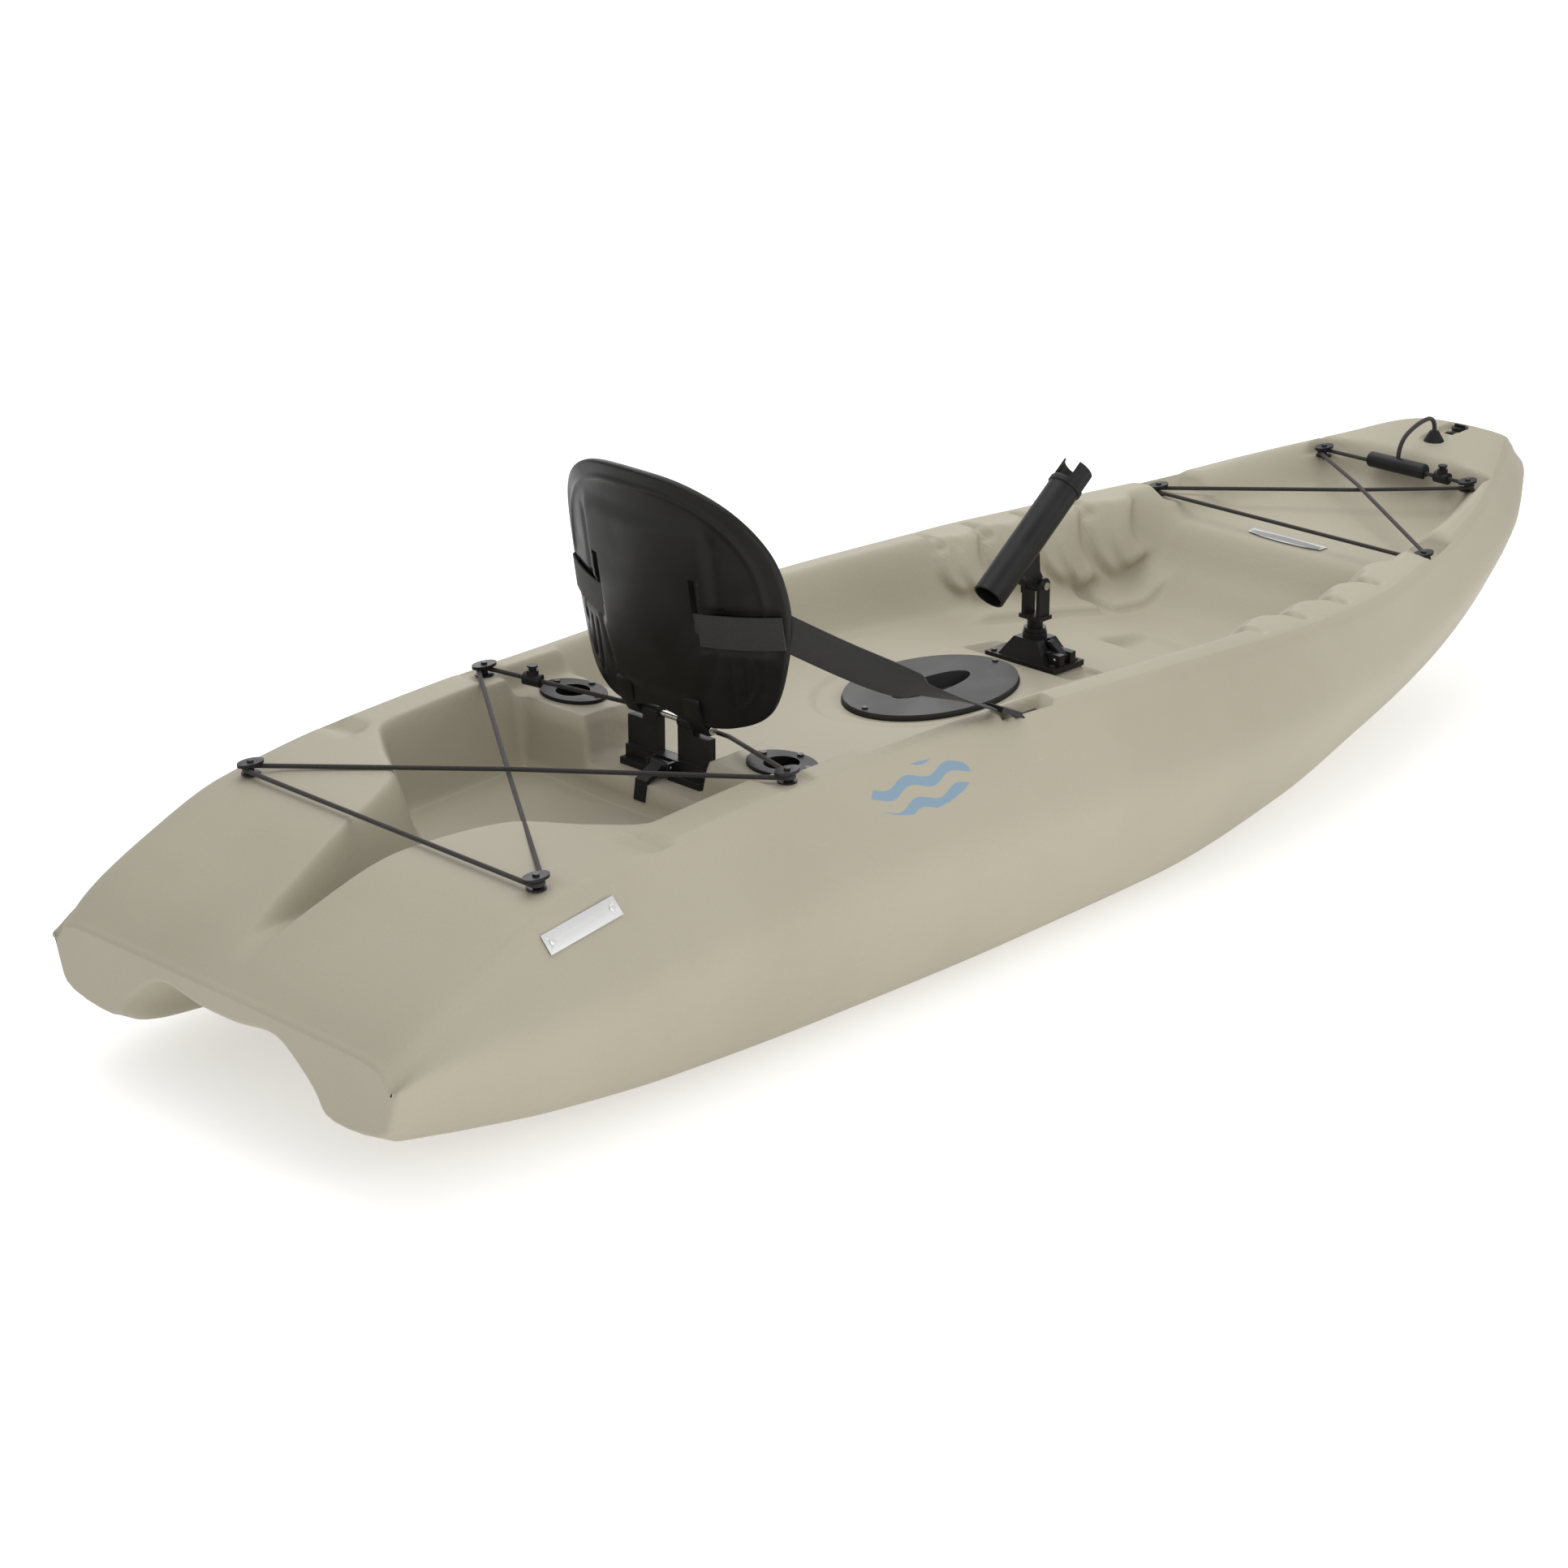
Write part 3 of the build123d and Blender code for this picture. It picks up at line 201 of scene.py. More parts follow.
def material(name, roughness, paint, **constants):
    """A material whose paint function takes (object coordinates, uv) and returns base colour,
    roughness and height in metres; constants are set on the shader's own sockets."""
    made = bpy.data.materials.new(name)
    made.use_nodes = True
    tree = made.node_tree
    shader = tree.nodes["Principled BSDF"]
    shader.inputs["Roughness"].default_value = roughness
    for key, value in constants.items():
        shader.inputs[key.replace("_", " ")].default_value = value
    source = tree.nodes.new("ShaderNodeTexCoord")
    base, rough, height = paint(Wire(tree, source.outputs["Object"]), Wire(tree, source.outputs["UV"]))
    if isinstance(base, Wire):
        tree.links.new(base.socket, shader.inputs["Base Color"])
    else:
        shader.inputs["Base Color"].default_value = colour(base)
    if rough is not None:
        tree.links.new(rough.socket, shader.inputs["Roughness"])
    if height is not None:
        bump = height.out("ShaderNodeBump", 0, None, Strength=1.0, Distance=1.0, Height=height)
        tree.links.new(bump.socket, shader.inputs["Normal"])
    return made


def axes(place):
    """The three components of a vector wire."""
    parts = place.node("ShaderNodeSeparateXYZ", None, Vector=place)
    return [Wire(place.tree, parts.outputs[i]) for i in range(3)]


# %% [markdown]
# ## Finishes
# The hull is rotomoulded polyethylene: matt, with a faint orange peel and slow changes of tone, and
# a few rubbed places. Black mouldings have a fine spark-eroded grain. Cloth, webbing and cord carry
# their weave as bump at thread size, so that it appears only when the eye comes near.

# %% Hull plastic
KHAKI, KHAKI_DARK = (0.385, 0.352, 0.272), (0.342, 0.310, 0.235)
WAVE_BLUE = (0.20, 0.29, 0.37)
WAVE_PLACE = (-0.455, 0.285)     # metres along, metres up
WAVE_LONG, WAVE_HIGH = 0.085, 0.024


def wave_mask(along, up, across):
    """Three stacked waves inside an upright oval on both sides of the boat."""
    u = (along - WAVE_PLACE[0]) / WAVE_LONG
    v = (up - WAVE_PLACE[1]) / WAVE_HIGH
    inside = (1.0 - (u * u + v * v)).step(0.0, 0.03)
    ripple = u.math("SINE", u * 7.5) * 0.16
    lines = (v + ripple).math("SINE", (v + ripple) * 6.6).step(0.0, 0.25)
    return inside * lines * across.math("ABSOLUTE", across).step(0.29, 0.30)


def hull_paint(place, uv):
    """Khaki between two tones, a fifth of it paler on scuffs drawn out along the boat, with the
    waves over it; the waves are glossier, and the height is orange peel plus fine grain."""
    along_all = axes(place)
    tone = place.noise(2.3, 4.0).step(0.3, 0.7)
    fine = place.noise(900.0, 2.0)
    peel = place.noise(260.0, 3.0)
    stretched = place.out("ShaderNodeMapping", 0, None, Vector=place, Scale=(9.0, 0.9, 9.0))
    scuffs = stretched.noise(16.0, 5.0, 0.7).step(0.66, 0.74)
    base = tone.mix(KHAKI_DARK, KHAKI)
    base = (scuffs * 0.22).mix(base, (0.50, 0.46, 0.37))
    waves = wave_mask(along_all[1], along_all[2], along_all[0])
    base = waves.mix(base, WAVE_BLUE)
    rough = 0.50 + 0.10 * tone + 0.06 * peel - 0.16 * waves
    height = peel * 0.00035 + fine * 0.00008
    return base, rough, height


hull_plastic = material("hull_plastic", 0.55, hull_paint, Specular_IOR_Level=0.38)


# %% [markdown]
# The other finishes differ mostly in grain: a scale in cells per metre and a depth in metres.


# %% Black mouldings, cloth and metal
def grained(base, light, scale, depth, rough_low, rough_high):
    """Paint of a moulded black plastic: fine grain, and a slow change of gloss and tone."""
    def paint(place, uv):
        slow = place.noise(14.0, 3.0).step(0.35, 0.65)
        grain = place.noise(scale, 2.0)
        rubbed = place.noise(60.0, 6.0, 0.7).step(0.62, 0.75)
        tone = (slow * 0.6 + rubbed * 0.4).mix(base, light)
        return tone, rough_low + (rough_high - rough_low) * slow, grain * depth
    return paint


black_plastic = material("black_plastic", 0.4, grained((0.010, 0.010, 0.0105), (0.019, 0.019, 0.020),
                                                       1400.0, 0.00006, 0.34, 0.46), Specular_IOR_Level=0.22)
seat_plastic = material("seat_plastic", 0.4, grained((0.0065, 0.0062, 0.0058), (0.0110, 0.0105, 0.0098),
                                                     900.0, 0.00008, 0.36, 0.50), Specular_IOR_Level=0.22)
flange_plastic = material("flange_plastic", 0.5, grained((0.008, 0.008, 0.009), (0.014, 0.014, 0.015),
                                                         1200.0, 0.00005, 0.44, 0.54), Specular_IOR_Level=0.2)
hatch_plastic = material("hatch_plastic", 0.5, grained((0.040, 0.040, 0.040), (0.056, 0.056, 0.057),
                                                       1200.0, 0.00005, 0.46, 0.56), Specular_IOR_Level=0.22)
black_rubber = material("black_rubber", 0.7, grained((0.014, 0.014, 0.014), (0.028, 0.027, 0.026),
                                                     500.0, 0.00012, 0.62, 0.80), Specular_IOR_Level=0.2)


def woven(thread, light, dark):
    """Plain weave on a UV map in metres: warp and weft threads pass over each other by turns."""
    def paint(place, uv):
        u, v, _ = axes(uv)
        warp = u.math("SINE", u * (math.pi / thread))
        weft = v.math("SINE", v * (math.pi / thread))
        over = (warp * weft).step(-0.6, 0.6)
        ribs = over * warp.math("ABSOLUTE", warp) + (1.0 - over) * weft.math("ABSOLUTE", weft)
        slow = place.noise(30.0, 3.0)
        return (ribs * 0.7 + slow * 0.3).mix(dark, light), 0.72 + 0.18 * slow, ribs * (thread * 0.25)
    return paint


def woven_on_object(thread, light, dark):
    """The same weave for a piece without its own map: warp along the boat, weft across and up."""
    on_map = woven(thread, light, dark)

    def paint(place, uv):
        x, y, z = axes(place)
        flat = place.out("ShaderNodeCombineXYZ", 0, None, in_0=x + z * 0.8, in_1=y + z * 0.6)
        return on_map(place, flat)
    return paint


WEB_THREAD, WEB_LIGHT, WEB_DARK = 0.0011, (0.022, 0.021, 0.020), (0.006, 0.006, 0.006)
plain_webbing = material("plain_webbing", 0.8, woven_on_object(WEB_THREAD, WEB_LIGHT, WEB_DARK),
                         Sheen_Weight=0.12)
webbing = material("webbing", 0.8, woven(WEB_THREAD, WEB_LIGHT, WEB_DARK), Sheen_Weight=0.12)
seat_cloth = material("seat_cloth", 0.8, woven(0.0008, (0.026, 0.026, 0.028), (0.010, 0.010, 0.011)),
                      Sheen_Weight=0.25)


def braided(place, uv):
    """Braid of a cord: two families of threads that cross, laid out on object coordinates."""
    x, y, z = axes(place)
    right = x.math("SINE", (x + y + z * 0.7) * 2100.0)
    left = x.math("SINE", (x - y + z * 0.7) * 2100.0)
    threads = right.math("MAXIMUM", right, left) * 0.5 + 0.5
    fleck = place.noise(240.0, 2.0).step(0.60, 0.72)
    base = threads.mix((0.006, 0.0055, 0.005), (0.024, 0.021, 0.018))
    return (fleck * 0.35).mix(base, (0.06, 0.052, 0.044)), 0.62 + 0.2 * threads, threads * 0.00028


cord_cloth = material("cord_cloth", 0.7, braided, Sheen_Weight=0.15)


def turned(place, uv):
    """Stainless steel with fine turning marks and a little dullness."""
    marks = place.noise(1800.0, 2.0)
    dull = place.noise(120.0, 4.0).step(0.45, 0.7)
    return dull.mix((0.62, 0.61, 0.59), (0.50, 0.49, 0.47)), 0.22 + 0.18 * dull, marks * 0.00002


stainless = material("stainless", 0.3, turned, Metallic=1.0)


def plate_paint(place, uv):
    """Brushed alloy: noise stretched thirty times along the plate sets tone, gloss and height."""
    streaks = place.out("ShaderNodeMapping", 0, None, Vector=place, Scale=(1, 30.0, 30.0)).noise(40.0, 3.0)
    return streaks.mix((0.60, 0.60, 0.60), (0.76, 0.76, 0.75)), 0.30 + 0.15 * streaks, streaks * 0.00002


plate_alloy = material("plate_alloy", 0.35, plate_paint, Metallic=0.85)


def badge_paint(place, uv):
    """Blank label: a pale rim round a grey field, drawn from the distance to its middle line."""
    low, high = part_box("bow_badge")
    x, y, _ = axes(place)
    u = x.math("ABSOLUTE", x) / float(high.x)
    bend = (y - float(high.y) + 0.004 * u * u) / float(high.y - low.y)
    rim = u.step(0.93, 0.95).math("MAXIMUM", u.step(0.93, 0.95), bend.step(-0.16, -0.12))
    rim = rim.math("MAXIMUM", rim, 1.0 - bend.step(-0.86, -0.80))
    speck = place.noise(500.0, 2.0)
    tone = (rim * 0.8 + speck * 0.2).mix((0.16, 0.165, 0.17), (0.62, 0.62, 0.61))
    return tone, 0.3 + 0.1 * speck, speck * 0.00002


badge_film = material("badge_film", 0.3, badge_paint, Coat_Weight=0.5)

by_slot = {
    "hull_plastic": hull_plastic, "black_plastic": black_plastic, "flange_plastic": flange_plastic,
    "stainless": stainless, "shock_cord_cloth": cord_cloth, "webbing": plain_webbing,
    "seat_cloth": seat_cloth, "black_rubber": black_rubber, "plate_alloy": plate_alloy,
    "badge_film": badge_film,
}

# %% [markdown]
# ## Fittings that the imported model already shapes
# Hooks, screws, rod holder and buckles keep their own mesh. A moulded edge is never sharp, so each
# gets its loose triangles joined, a narrow bevel and smooth shading: the bevel catches a thin line of
# light, which is most of what makes a small part look moulded.


# %% Bevel the fittings
def soften(name, width_mm, segments=2):
    """Joins a node's triangles and rounds its edges with modifiers; its own mesh stays as it is."""
    fitting = nodes[name]
    weld = fitting.modifiers.new("join", "WELD")
    weld.merge_threshold = 0.00002
    if width_mm:
        bevel = fitting.modifiers.new("edge", "BEVEL")
        bevel.width, bevel.segments = width_mm * 0.001, segments
        bevel.limit_method, bevel.angle_limit = "ANGLE", math.radians(32)
        bevel.use_clamp_overlap = True
    fitting.modifiers.new("shade", "WEIGHTED_NORMAL").keep_sharp = True
    for face in fitting.data.polygons:
        face.use_smooth = True


for name, fitting in nodes.items():
    fitting.data.materials.clear()
    fitting.data.materials.append(by_slot[record_slots[name]])
nodes["hatch_cover"].data.materials[0] = hatch_plastic
black_steel = material("black_steel", 0.4, grained((0.020, 0.020, 0.021), (0.045, 0.045, 0.046),
                                                   900.0, 0.00003, 0.34, 0.44), Specular_IOR_Level=0.3)
for name in ("hook_screws", "rod_holder_screws", "hatch_screws", "anchor_screws", "neck_screws",
             "rod_base_screws", "tether_screw"):
    nodes[name].data.materials[0] = black_steel

EDGES = {
    "deck_hooks_rear": 0.9, "deck_hooks_front": 0.9, "rear_cord_lock": 0.8, "front_cord_lock": 0.8,
    "rear_lock_button": 0.6, "front_lock_button": 0.6, "flush_rod_holder_port": 1.2,
    "flush_rod_holder_starboard": 1.2, "hatch_cover": 1.2, "seat_neck": 1.5, "seat_clip": 0.8,
    "strap_buckle_port": 0.7, "strap_buckle_starboard": 0.7, "rod_base": 1.0, "rod_lock_lever": 0.7,
    "rod_post": 1.0, "rod_tube": 0.9, "rod_tilt_knob": 1.0, "bow_boot": 1.0, "bow_handle": 0.8,
    "drain_plug": 0.8, "hook_screws": 0.5, "rod_holder_screws": 0.5, "hatch_screws": 0.5,
    "rod_base_screws": 0.5, "neck_screws": 0.5, "rod_pivot_bolt": 0.5, "hatch_gasket": 0.5,
}
for name in nodes:
    if name not in ("hull", "seat_pad", "seat_shell", "bow_rope"):
        soften(name, EDGES.get(name, 0))
print("fittings softened", len(EDGES))

# %% [markdown]
# ## Meshes from grids
# Every new surface is a function of two parameters, worked out on a grid of points at once. A grid
# that closes on itself has no seam, and a flat cap closes each open end.


# %% Grid to mesh
def grid_faces(rows, cols, closed):
    """Quads of a grid of rows x cols points, wrapping round across the columns where closed."""
    i = np.arange(rows - 1)[:, None]
    j = np.arange(cols if closed else cols - 1)[None, :]
    k = (j + 1) % cols
    corners = [i * cols + j, i * cols + k, (i + 1) * cols + k, (i + 1) * cols + j]
    return np.stack([c + np.zeros_like(i * j) for c in corners], -1).reshape(-1, 4)


def end_faces(rows, cols):
    """The two flat faces that close a grid wrapped round across its columns, one on each end row."""
    return [list(range(cols)), list(range((rows - 1) * cols, rows * cols))[::-1]]


def write_mesh(name, points_mm, faces, body, finish, uv_m=None):
    """Object from points in millimetres, riding on a body, with an optional UV per point in metres."""
    mesh = bpy.data.meshes.new(name)
    mesh.from_pydata(points_mm.reshape(-1, 3) * 0.001, [], [list(f) for f in faces])
    mesh.polygons.foreach_set("use_smooth", np.ones(len(mesh.polygons), bool))
    if uv_m is not None:
        layer = mesh.uv_layers.new(name="UVMap")
        corner = np.empty(len(mesh.loops), int)
        mesh.loops.foreach_get("vertex_index", corner)
        layer.uv.foreach_set("vector", uv_m.reshape(-1, 2)[corner].astype(np.float32).ravel())
    mesh.materials.append(finish)
    mesh.update()
    piece = bpy.data.objects.new(name, mesh)
    bpy.context.scene.collection.objects.link(piece)
    if body:
        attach(piece, body)
    return piece


def smooth(value, low, high):
    """0 below low, 1 above high, with an S-shaped rise between."""
    t = np.clip((value - low) / (high - low), 0, 1)
    return t * t * (3 - 2 * t)


def curve_through(table, along, column):
    """Smooth curve through a table's column: cubic pieces whose slope at each row is limited, so
    that the curve never overshoots between rows."""
    rows = np.array(sorted(table), float)
    x, y = rows[:, 0], rows[:, column]
    steps = np.diff(y) / np.diff(x)
    inner = np.where(steps[1:] * steps[:-1] > 0,
                     2 * steps[1:] * steps[:-1] / (steps[1:] + steps[:-1] + 1e-12), 0)
    slope = np.concatenate([[steps[0]], inner, [steps[-1]]])
    k = np.clip(np.searchsorted(x, along) - 1, 0, len(x) - 2)
    width = x[k + 1] - x[k]
    t = np.clip((along - x[k]) / width, 0, 1)
    return ((1 + 2 * t) * (1 - t) ** 2 * y[k] + t * (1 - t) ** 2 * width * slope[k]
            + t * t * (3 - 2 * t) * y[k + 1] + t * t * (t - 1) * width * slope[k + 1])


# %% [markdown]
# ## Hull
# The hull is one closed skin. Its outline comes from the builder's table of offsets, joined by smooth
# curves along the boat. Across the boat each section is a ring: over the deck from port to starboard,
# round the rail, down the side, and back under the bottom, where two tunnels rise towards the stern.
# The deck is a height over each point, into which wells, seats and recesses are pressed one by one
# with soft edges, as the mould does it.

# %% Table of offsets
HALF_LONG = 1282.5
STATIONS = [
    (-1282.5, 80, 66, 296, 84, 318, 158, 305, 163, 182),
    (-1245, 80, 58, 286, 62, 328, 168, 306, 192, 208),
    (-1150, 85, 42, 306, 50, 350, 180, 306, 240, 256),
    (-1040, 90, 28, 322, 36, 367, 190, 304, 283, 296),
    (-850, 95, 12, 335, 18, 382, 208, 303, 313, 317),
    (-600, 95, 4, 343, 9, 390, 222, 305, 321, 329),
    (-300, 95, 0, 347, 6, 393.5, 214, 318, 321, 329),
    (0, 95, 0, 340, 8, 393.5, 190, 333, 310, 318),
    (300, 90, 2, 312, 32, 380, 180, 340, 295, 303),
    (520, 75, 14, 278, 64, 348, 186, 322, 288, 296),
    (720, 55, 34, 238, 88, 302, 204, 272, 293, 301),
    (900, 38, 68, 196, 126, 250, 232, 218, 306, 314),
    (1050, 24, 118, 152, 182, 190, 258, 152, 322, 331),
    (1150, 14, 166, 104, 222, 132, 282, 100, 334, 344),
    (1220, 9, 208, 66, 245, 84, 284, 60, 316, 326),
    (1262, 6, 238, 34, 256, 42, 276, 30, 290, 298),
    (1282.5, 4, 255, 9, 259, 11, 264, 8, 268, 270),
]
REAR_WELL = [(-640, 205, 205, 240), (-820, 198, 201, 238), (-870, 110, 205, 190), (-920, 50, 210, 108),
             (-1000, 30, 218, 66), (-1090, 14, 224, 38), (-1170, 8, 214, 24), (-1262, 4, 198, 14)]
COCKPIT = [(-500, 200, 238, 284), (-200, 214, 231, 288), (0, 214, 226, 294), (140, 206, 214, 298),
           (390, 190, 177, 292), (560, 168, 155, 268), (640, 166, 200, 248), (700, 165, 255, 236),
           (972, 104, 267, 172), (1040, 60, 316, 96)]
TUNNELS = [(-1282.5, 205, 186, 110, 116, 160, 44, 146), (-1150, 196, 180, 84, 118, 140, 48, 96),
           (-1000, 184, 168, 54, 116, 84, 52, 26), (-840, 168, 150, 12, 112, 15, 60, 8)]


# %% [markdown]
# The places of the sections along the boat come from a density: its running total is divided evenly,
# so that where the density is doubled the sections stand twice as close.


# %% Rows along the boat
def fine_rows(count):
    """Places along the boat, closer together where the moulding has small features."""
    probe = np.linspace(-HALF_LONG, HALF_LONG, 4001)
    density = np.full(probe.shape, 1.0)
    for low, high, more in ((-1282.5, -1262, 2.0), (-1120, -960, .7), (-650, -470, 2.0), (-300, -180, .8),
                            (105, 190, 2.2), (230, 620, 1.1), (690, 770, 1.4), (960, 1060, 1.2),
                            (1070, 1282.5, .8)):
        density += more * smooth(probe, low - 14, low) * (1 - smooth(probe, high, high + 14))
    total = np.concatenate([[0], np.cumsum((density[1:] + density[:-1]) / 2)])
    return np.interp(np.linspace(0, total[-1], count), total, probe)


ROWS = 372
along = fine_rows(ROWS)
keel, keel_z, chine, chine_z, crease, crease_z, rail, rail_z, crown = (
    curve_through(STATIONS, along, c) for c in range(1, 10))
print("rows", ROWS, "finest", round(float(np.diff(along).min()), 1), "mm")

# %% [markdown]
# Each pressing is a mask from 0 to 1 over the deck and a level that the deck goes to inside it. The
# mask's soft rim is the draft and the fillet of the mould. A well's rim follows its own table, so the
# columns of the grid are laid along those rims, and the fillets stay even all the way round.

# %% Columns across the deck
WELL_COLS, WALL_COLS, DECK_COLS = 38, 26, 24
inside_aft = along < -550
well_floor_half = np.where(inside_aft, curve_through(REAR_WELL, along, 1), curve_through(COCKPIT, along, 1))
well_rail_half = np.where(inside_aft, curve_through(REAR_WELL, along, 3), curve_through(COCKPIT, along, 3))
edge = 8.0 * smooth(rail, 4, 40) + 0.3 * np.minimum(rail, 10)
deck_half = np.maximum(rail - edge, 0.6 * rail)
low_fraction = np.clip(well_floor_half / deck_half, 0.22, 0.72)
high_fraction = np.clip((well_rail_half + 6) / deck_half, 0.45, 0.92)
for _ in range(12):
    low_fraction[1:-1] = (low_fraction[:-2] + 2 * low_fraction[1:-1] + low_fraction[2:]) / 4
    high_fraction[1:-1] = (high_fraction[:-2] + 2 * high_fraction[1:-1] + high_fraction[2:]) / 4
share = np.concatenate([
    low_fraction[:, None] * np.linspace(0, 1, WELL_COLS + 1)[None, :],
    low_fraction[:, None] + ((high_fraction - low_fraction)[:, None]
                             * np.linspace(0, 1, WALL_COLS + 1)[None, 1:]),
    high_fraction[:, None] + (1 - high_fraction)[:, None] * np.linspace(0, 1, DECK_COLS + 1)[None, 1:]], 1)
half_x = share * deck_half[:, None]
deck_x = np.concatenate([-half_x[:, :0:-1], half_x], 1)
deck_y = np.repeat(along[:, None], deck_x.shape[1], 1)
across = np.abs(deck_x)


# %% [markdown]
# The two wells go in first, then the thwart between them and the saddle that carries the seat.


# %% Wells and platforms
def press(level, mask, floor):
    """The deck pressed to floor where mask is 1."""
    return level * (1 - mask) + floor * mask


def column(values):
    """One value per section, as a column that goes with every point of the section."""
    return values[:, None]


def trough(table, grown=0.0):
    """Mask of a well across the boat: 1 on its floor, 0 past its rim, straight walls between with
    rounded feet and rims; and the height of its floor."""
    foot = column(curve_through(table, along, 1)) - grown
    rim = column(curve_through(table, along, 3)) + 6 + grown
    t = np.clip((rim - across) / (rim - foot), 0, 1)
    return 0.35 * t * t * (3 - 2 * t) + 0.65 * smooth(t, 0.06, 0.94), column(curve_through(table, along, 2))


rim_gain = 1 - np.exp(-(column(rail) - across) / 15.0)
crown_share = rim_gain * (0.92 + 0.08 * (1 - across / column(rail)))
deck = column(rail_z) + column(crown - rail_z) * crown_share

aft_mask, aft_floor = trough(REAR_WELL)
aft_floor = aft_floor + 5.0 * smooth(across, 60, 190)
aft_ends = smooth(deck_y, -1272, -1120) * (1 - smooth(deck_y, -618, -592))
deck = press(deck, aft_mask * aft_ends, aft_floor)

fore_mask, fore_floor = trough(COCKPIT)
fore_floor = fore_floor + 6.0 * smooth(across, 120, 210) * (1 - smooth(deck_y, 600, 700))
LEDGE_HIGH = 13.0
ledge_x = column(0.84 * curve_through(COCKPIT, along, 1))
ledge = smooth(across, ledge_x - 5, ledge_x + 5) * smooth(deck_y, 190, 260) * (1 - smooth(deck_y, 590, 640))
ledge = ledge * (1 - smooth(deck_y, 470, 476) * (1 - smooth(deck_y, 496, 502)))
fore_floor = fore_floor + LEDGE_HIGH * ledge
fore_ends = smooth(deck_y, -506, -490) * (1 - smooth(deck_y, 1000, 1046))
deck = press(deck, fore_mask * fore_ends, fore_floor)

THWART, SADDLE = 298.0, 241.0
thwart_mask = (smooth(deck_y, -622, -604) * (1 - smooth(deck_y, -500, -486))
               * (1 - smooth(across, 246, 268)))
deck = np.where(deck > THWART, press(deck, thwart_mask, THWART), deck)
saddle_mask = (smooth(deck_y, -640, -612) * (1 - smooth(deck_y, -498, -470))
               * (1 - smooth(across, 98, 112)))
deck = np.where(deck > SADDLE, press(deck, saddle_mask, SADDLE), deck)
print("deck columns", deck_x.shape[1])


# %% [markdown]
# The small pressings seat the fittings: hatch, rod holder, hooks, strap anchors, boot, plug and label.


# %% Small pressings
def box_mask(x, y, half_x, half_y, soft):
    """Soft rectangle about (x, y), on both sides of the boat."""
    return ((1 - smooth(np.abs(across - x), half_x, half_x + soft))
            * (1 - smooth(np.abs(deck_y - y), half_y, half_y + soft)))


def oval_distance(a, b, y):
    """Distance in millimetres outside an oval of half axes a, b centred on the keel line at y."""
    ratio = np.sqrt((deck_x / a) ** 2 + ((deck_y - y) / b) ** 2)
    return (ratio - 1) * (a + b) / 2


HATCH_Y, HATCH_SEAT = -68.0, 224.7
gap = oval_distance(98, 140, HATCH_Y)
deck = press(deck, 1 - smooth(gap, 6, 26), HATCH_SEAT)
groove = smooth(gap, 16, 26) * (1 - smooth(gap, 34, 46)) * (1 - smooth(deck_y, -110, -10))
deck = deck - 5.0 * groove
deck = press(deck, 1 - smooth(oval_distance(66, 108, HATCH_Y), 0, 8), HATCH_SEAT - 45)

ROD_Y, ROD_SEAT = 146.0, 213.1
deck = press(deck, box_mask(0, ROD_Y, 92, 33, 5), ROD_SEAT - 11)
deck = press(deck, box_mask(0, ROD_Y, 61, 32, 2), ROD_SEAT - 0.2)
deck = press(deck, box_mask(0, 398, 30, 34, 26), 160.0)

for x, y, seat, inner, aft, fore in ((271, -627, 322, 41, 24, 21), (257, -1019, 299, 12, 20, 20),
                                     (244, 720, 276, 60, 21, 52), (133, 989, 303, 45, 34, 21)):
    pocket = ((1 - smooth(across, x + 17, x + 27)) * smooth(across, x - inner - 16, x - inner)
              * smooth(deck_y, y - aft - 9, y - aft) * (1 - smooth(deck_y, y + fore, y + fore + 9)))
    deck = np.where(deck > seat, press(deck, pocket, seat - 0.1), deck)
ANCHOR_SEAT, GRIP_DEEP = 307.6, 9.0
anchor = box_mask(307, -236, 14, 44, 3)
deck = np.where(deck > ANCHOR_SEAT, press(deck, anchor, ANCHOR_SEAT), deck)
grip_notch = box_mask(276, -859, 26, 9, 12)
deck = deck - GRIP_DEEP * grip_notch
BOOT_Y, BOOT_SEAT, PLUG_SEAT = 1090.0, 332.8, 335.2
deck = press(deck, 1 - smooth(np.hypot(deck_x, deck_y - BOOT_Y), 17, 24), BOOT_SEAT)
plug_pad = (1 - smooth(across, 14, 22)) * smooth(deck_y, 1112, 1122) * (1 - smooth(deck_y, 1176, 1188))
deck = press(deck, plug_pad, PLUG_SEAT)
badge_pad = (1 - smooth(across, 72, 90)) * smooth(deck_y, 695, 705) * (1 - smooth(deck_y, 734, 746))
deck = deck - 0.8 * badge_pad

# %% [markdown]
# Footrests are scallops in the cockpit's side walls. Along the wall each one steps in sharply at its
# aft edge and runs out gently forward, and the edge leans towards the bow as it goes down, so it is
# drawn as a wave whose phase depends on both the place along the boat and the height on the wall.

# %% Footrest scallops and the sockets of the flush rod holders
rise = np.clip((deck - fore_floor) / (column(rail_z) - fore_floor + 1e-6), 0, 1)
SCALLOP_STEP, FIRST_SCALLOP = 102.0, 248.0
SCALLOP_DEEP, RIM_NOTCH = 26.0, 9.0
phase = (deck_y - FIRST_SCALLOP + 26 * np.sin(np.pi * rise) - 16 * (1 - rise) ** 2) / SCALLOP_STEP
beat = phase - np.floor(phase)
lobe = 0.62 * smooth(beat, 0, 0.09) + 0.38 * smooth(beat, 0.28, 0.38) - smooth(beat, 0.58, 1.0)
within = smooth(phase, -0.02, 0.02) * (1 - smooth(phase, 3.75, 4.0)) * smooth(rise, 0.10, 0.34)
wall_top = column(well_rail_half)
on_wall = smooth(across, 120, 170) * (1 - smooth(across, wall_top + 12, wall_top + 24))
shift = SCALLOP_DEEP * lobe * within * on_wall
deck_x = deck_x - np.sign(deck_x) * shift
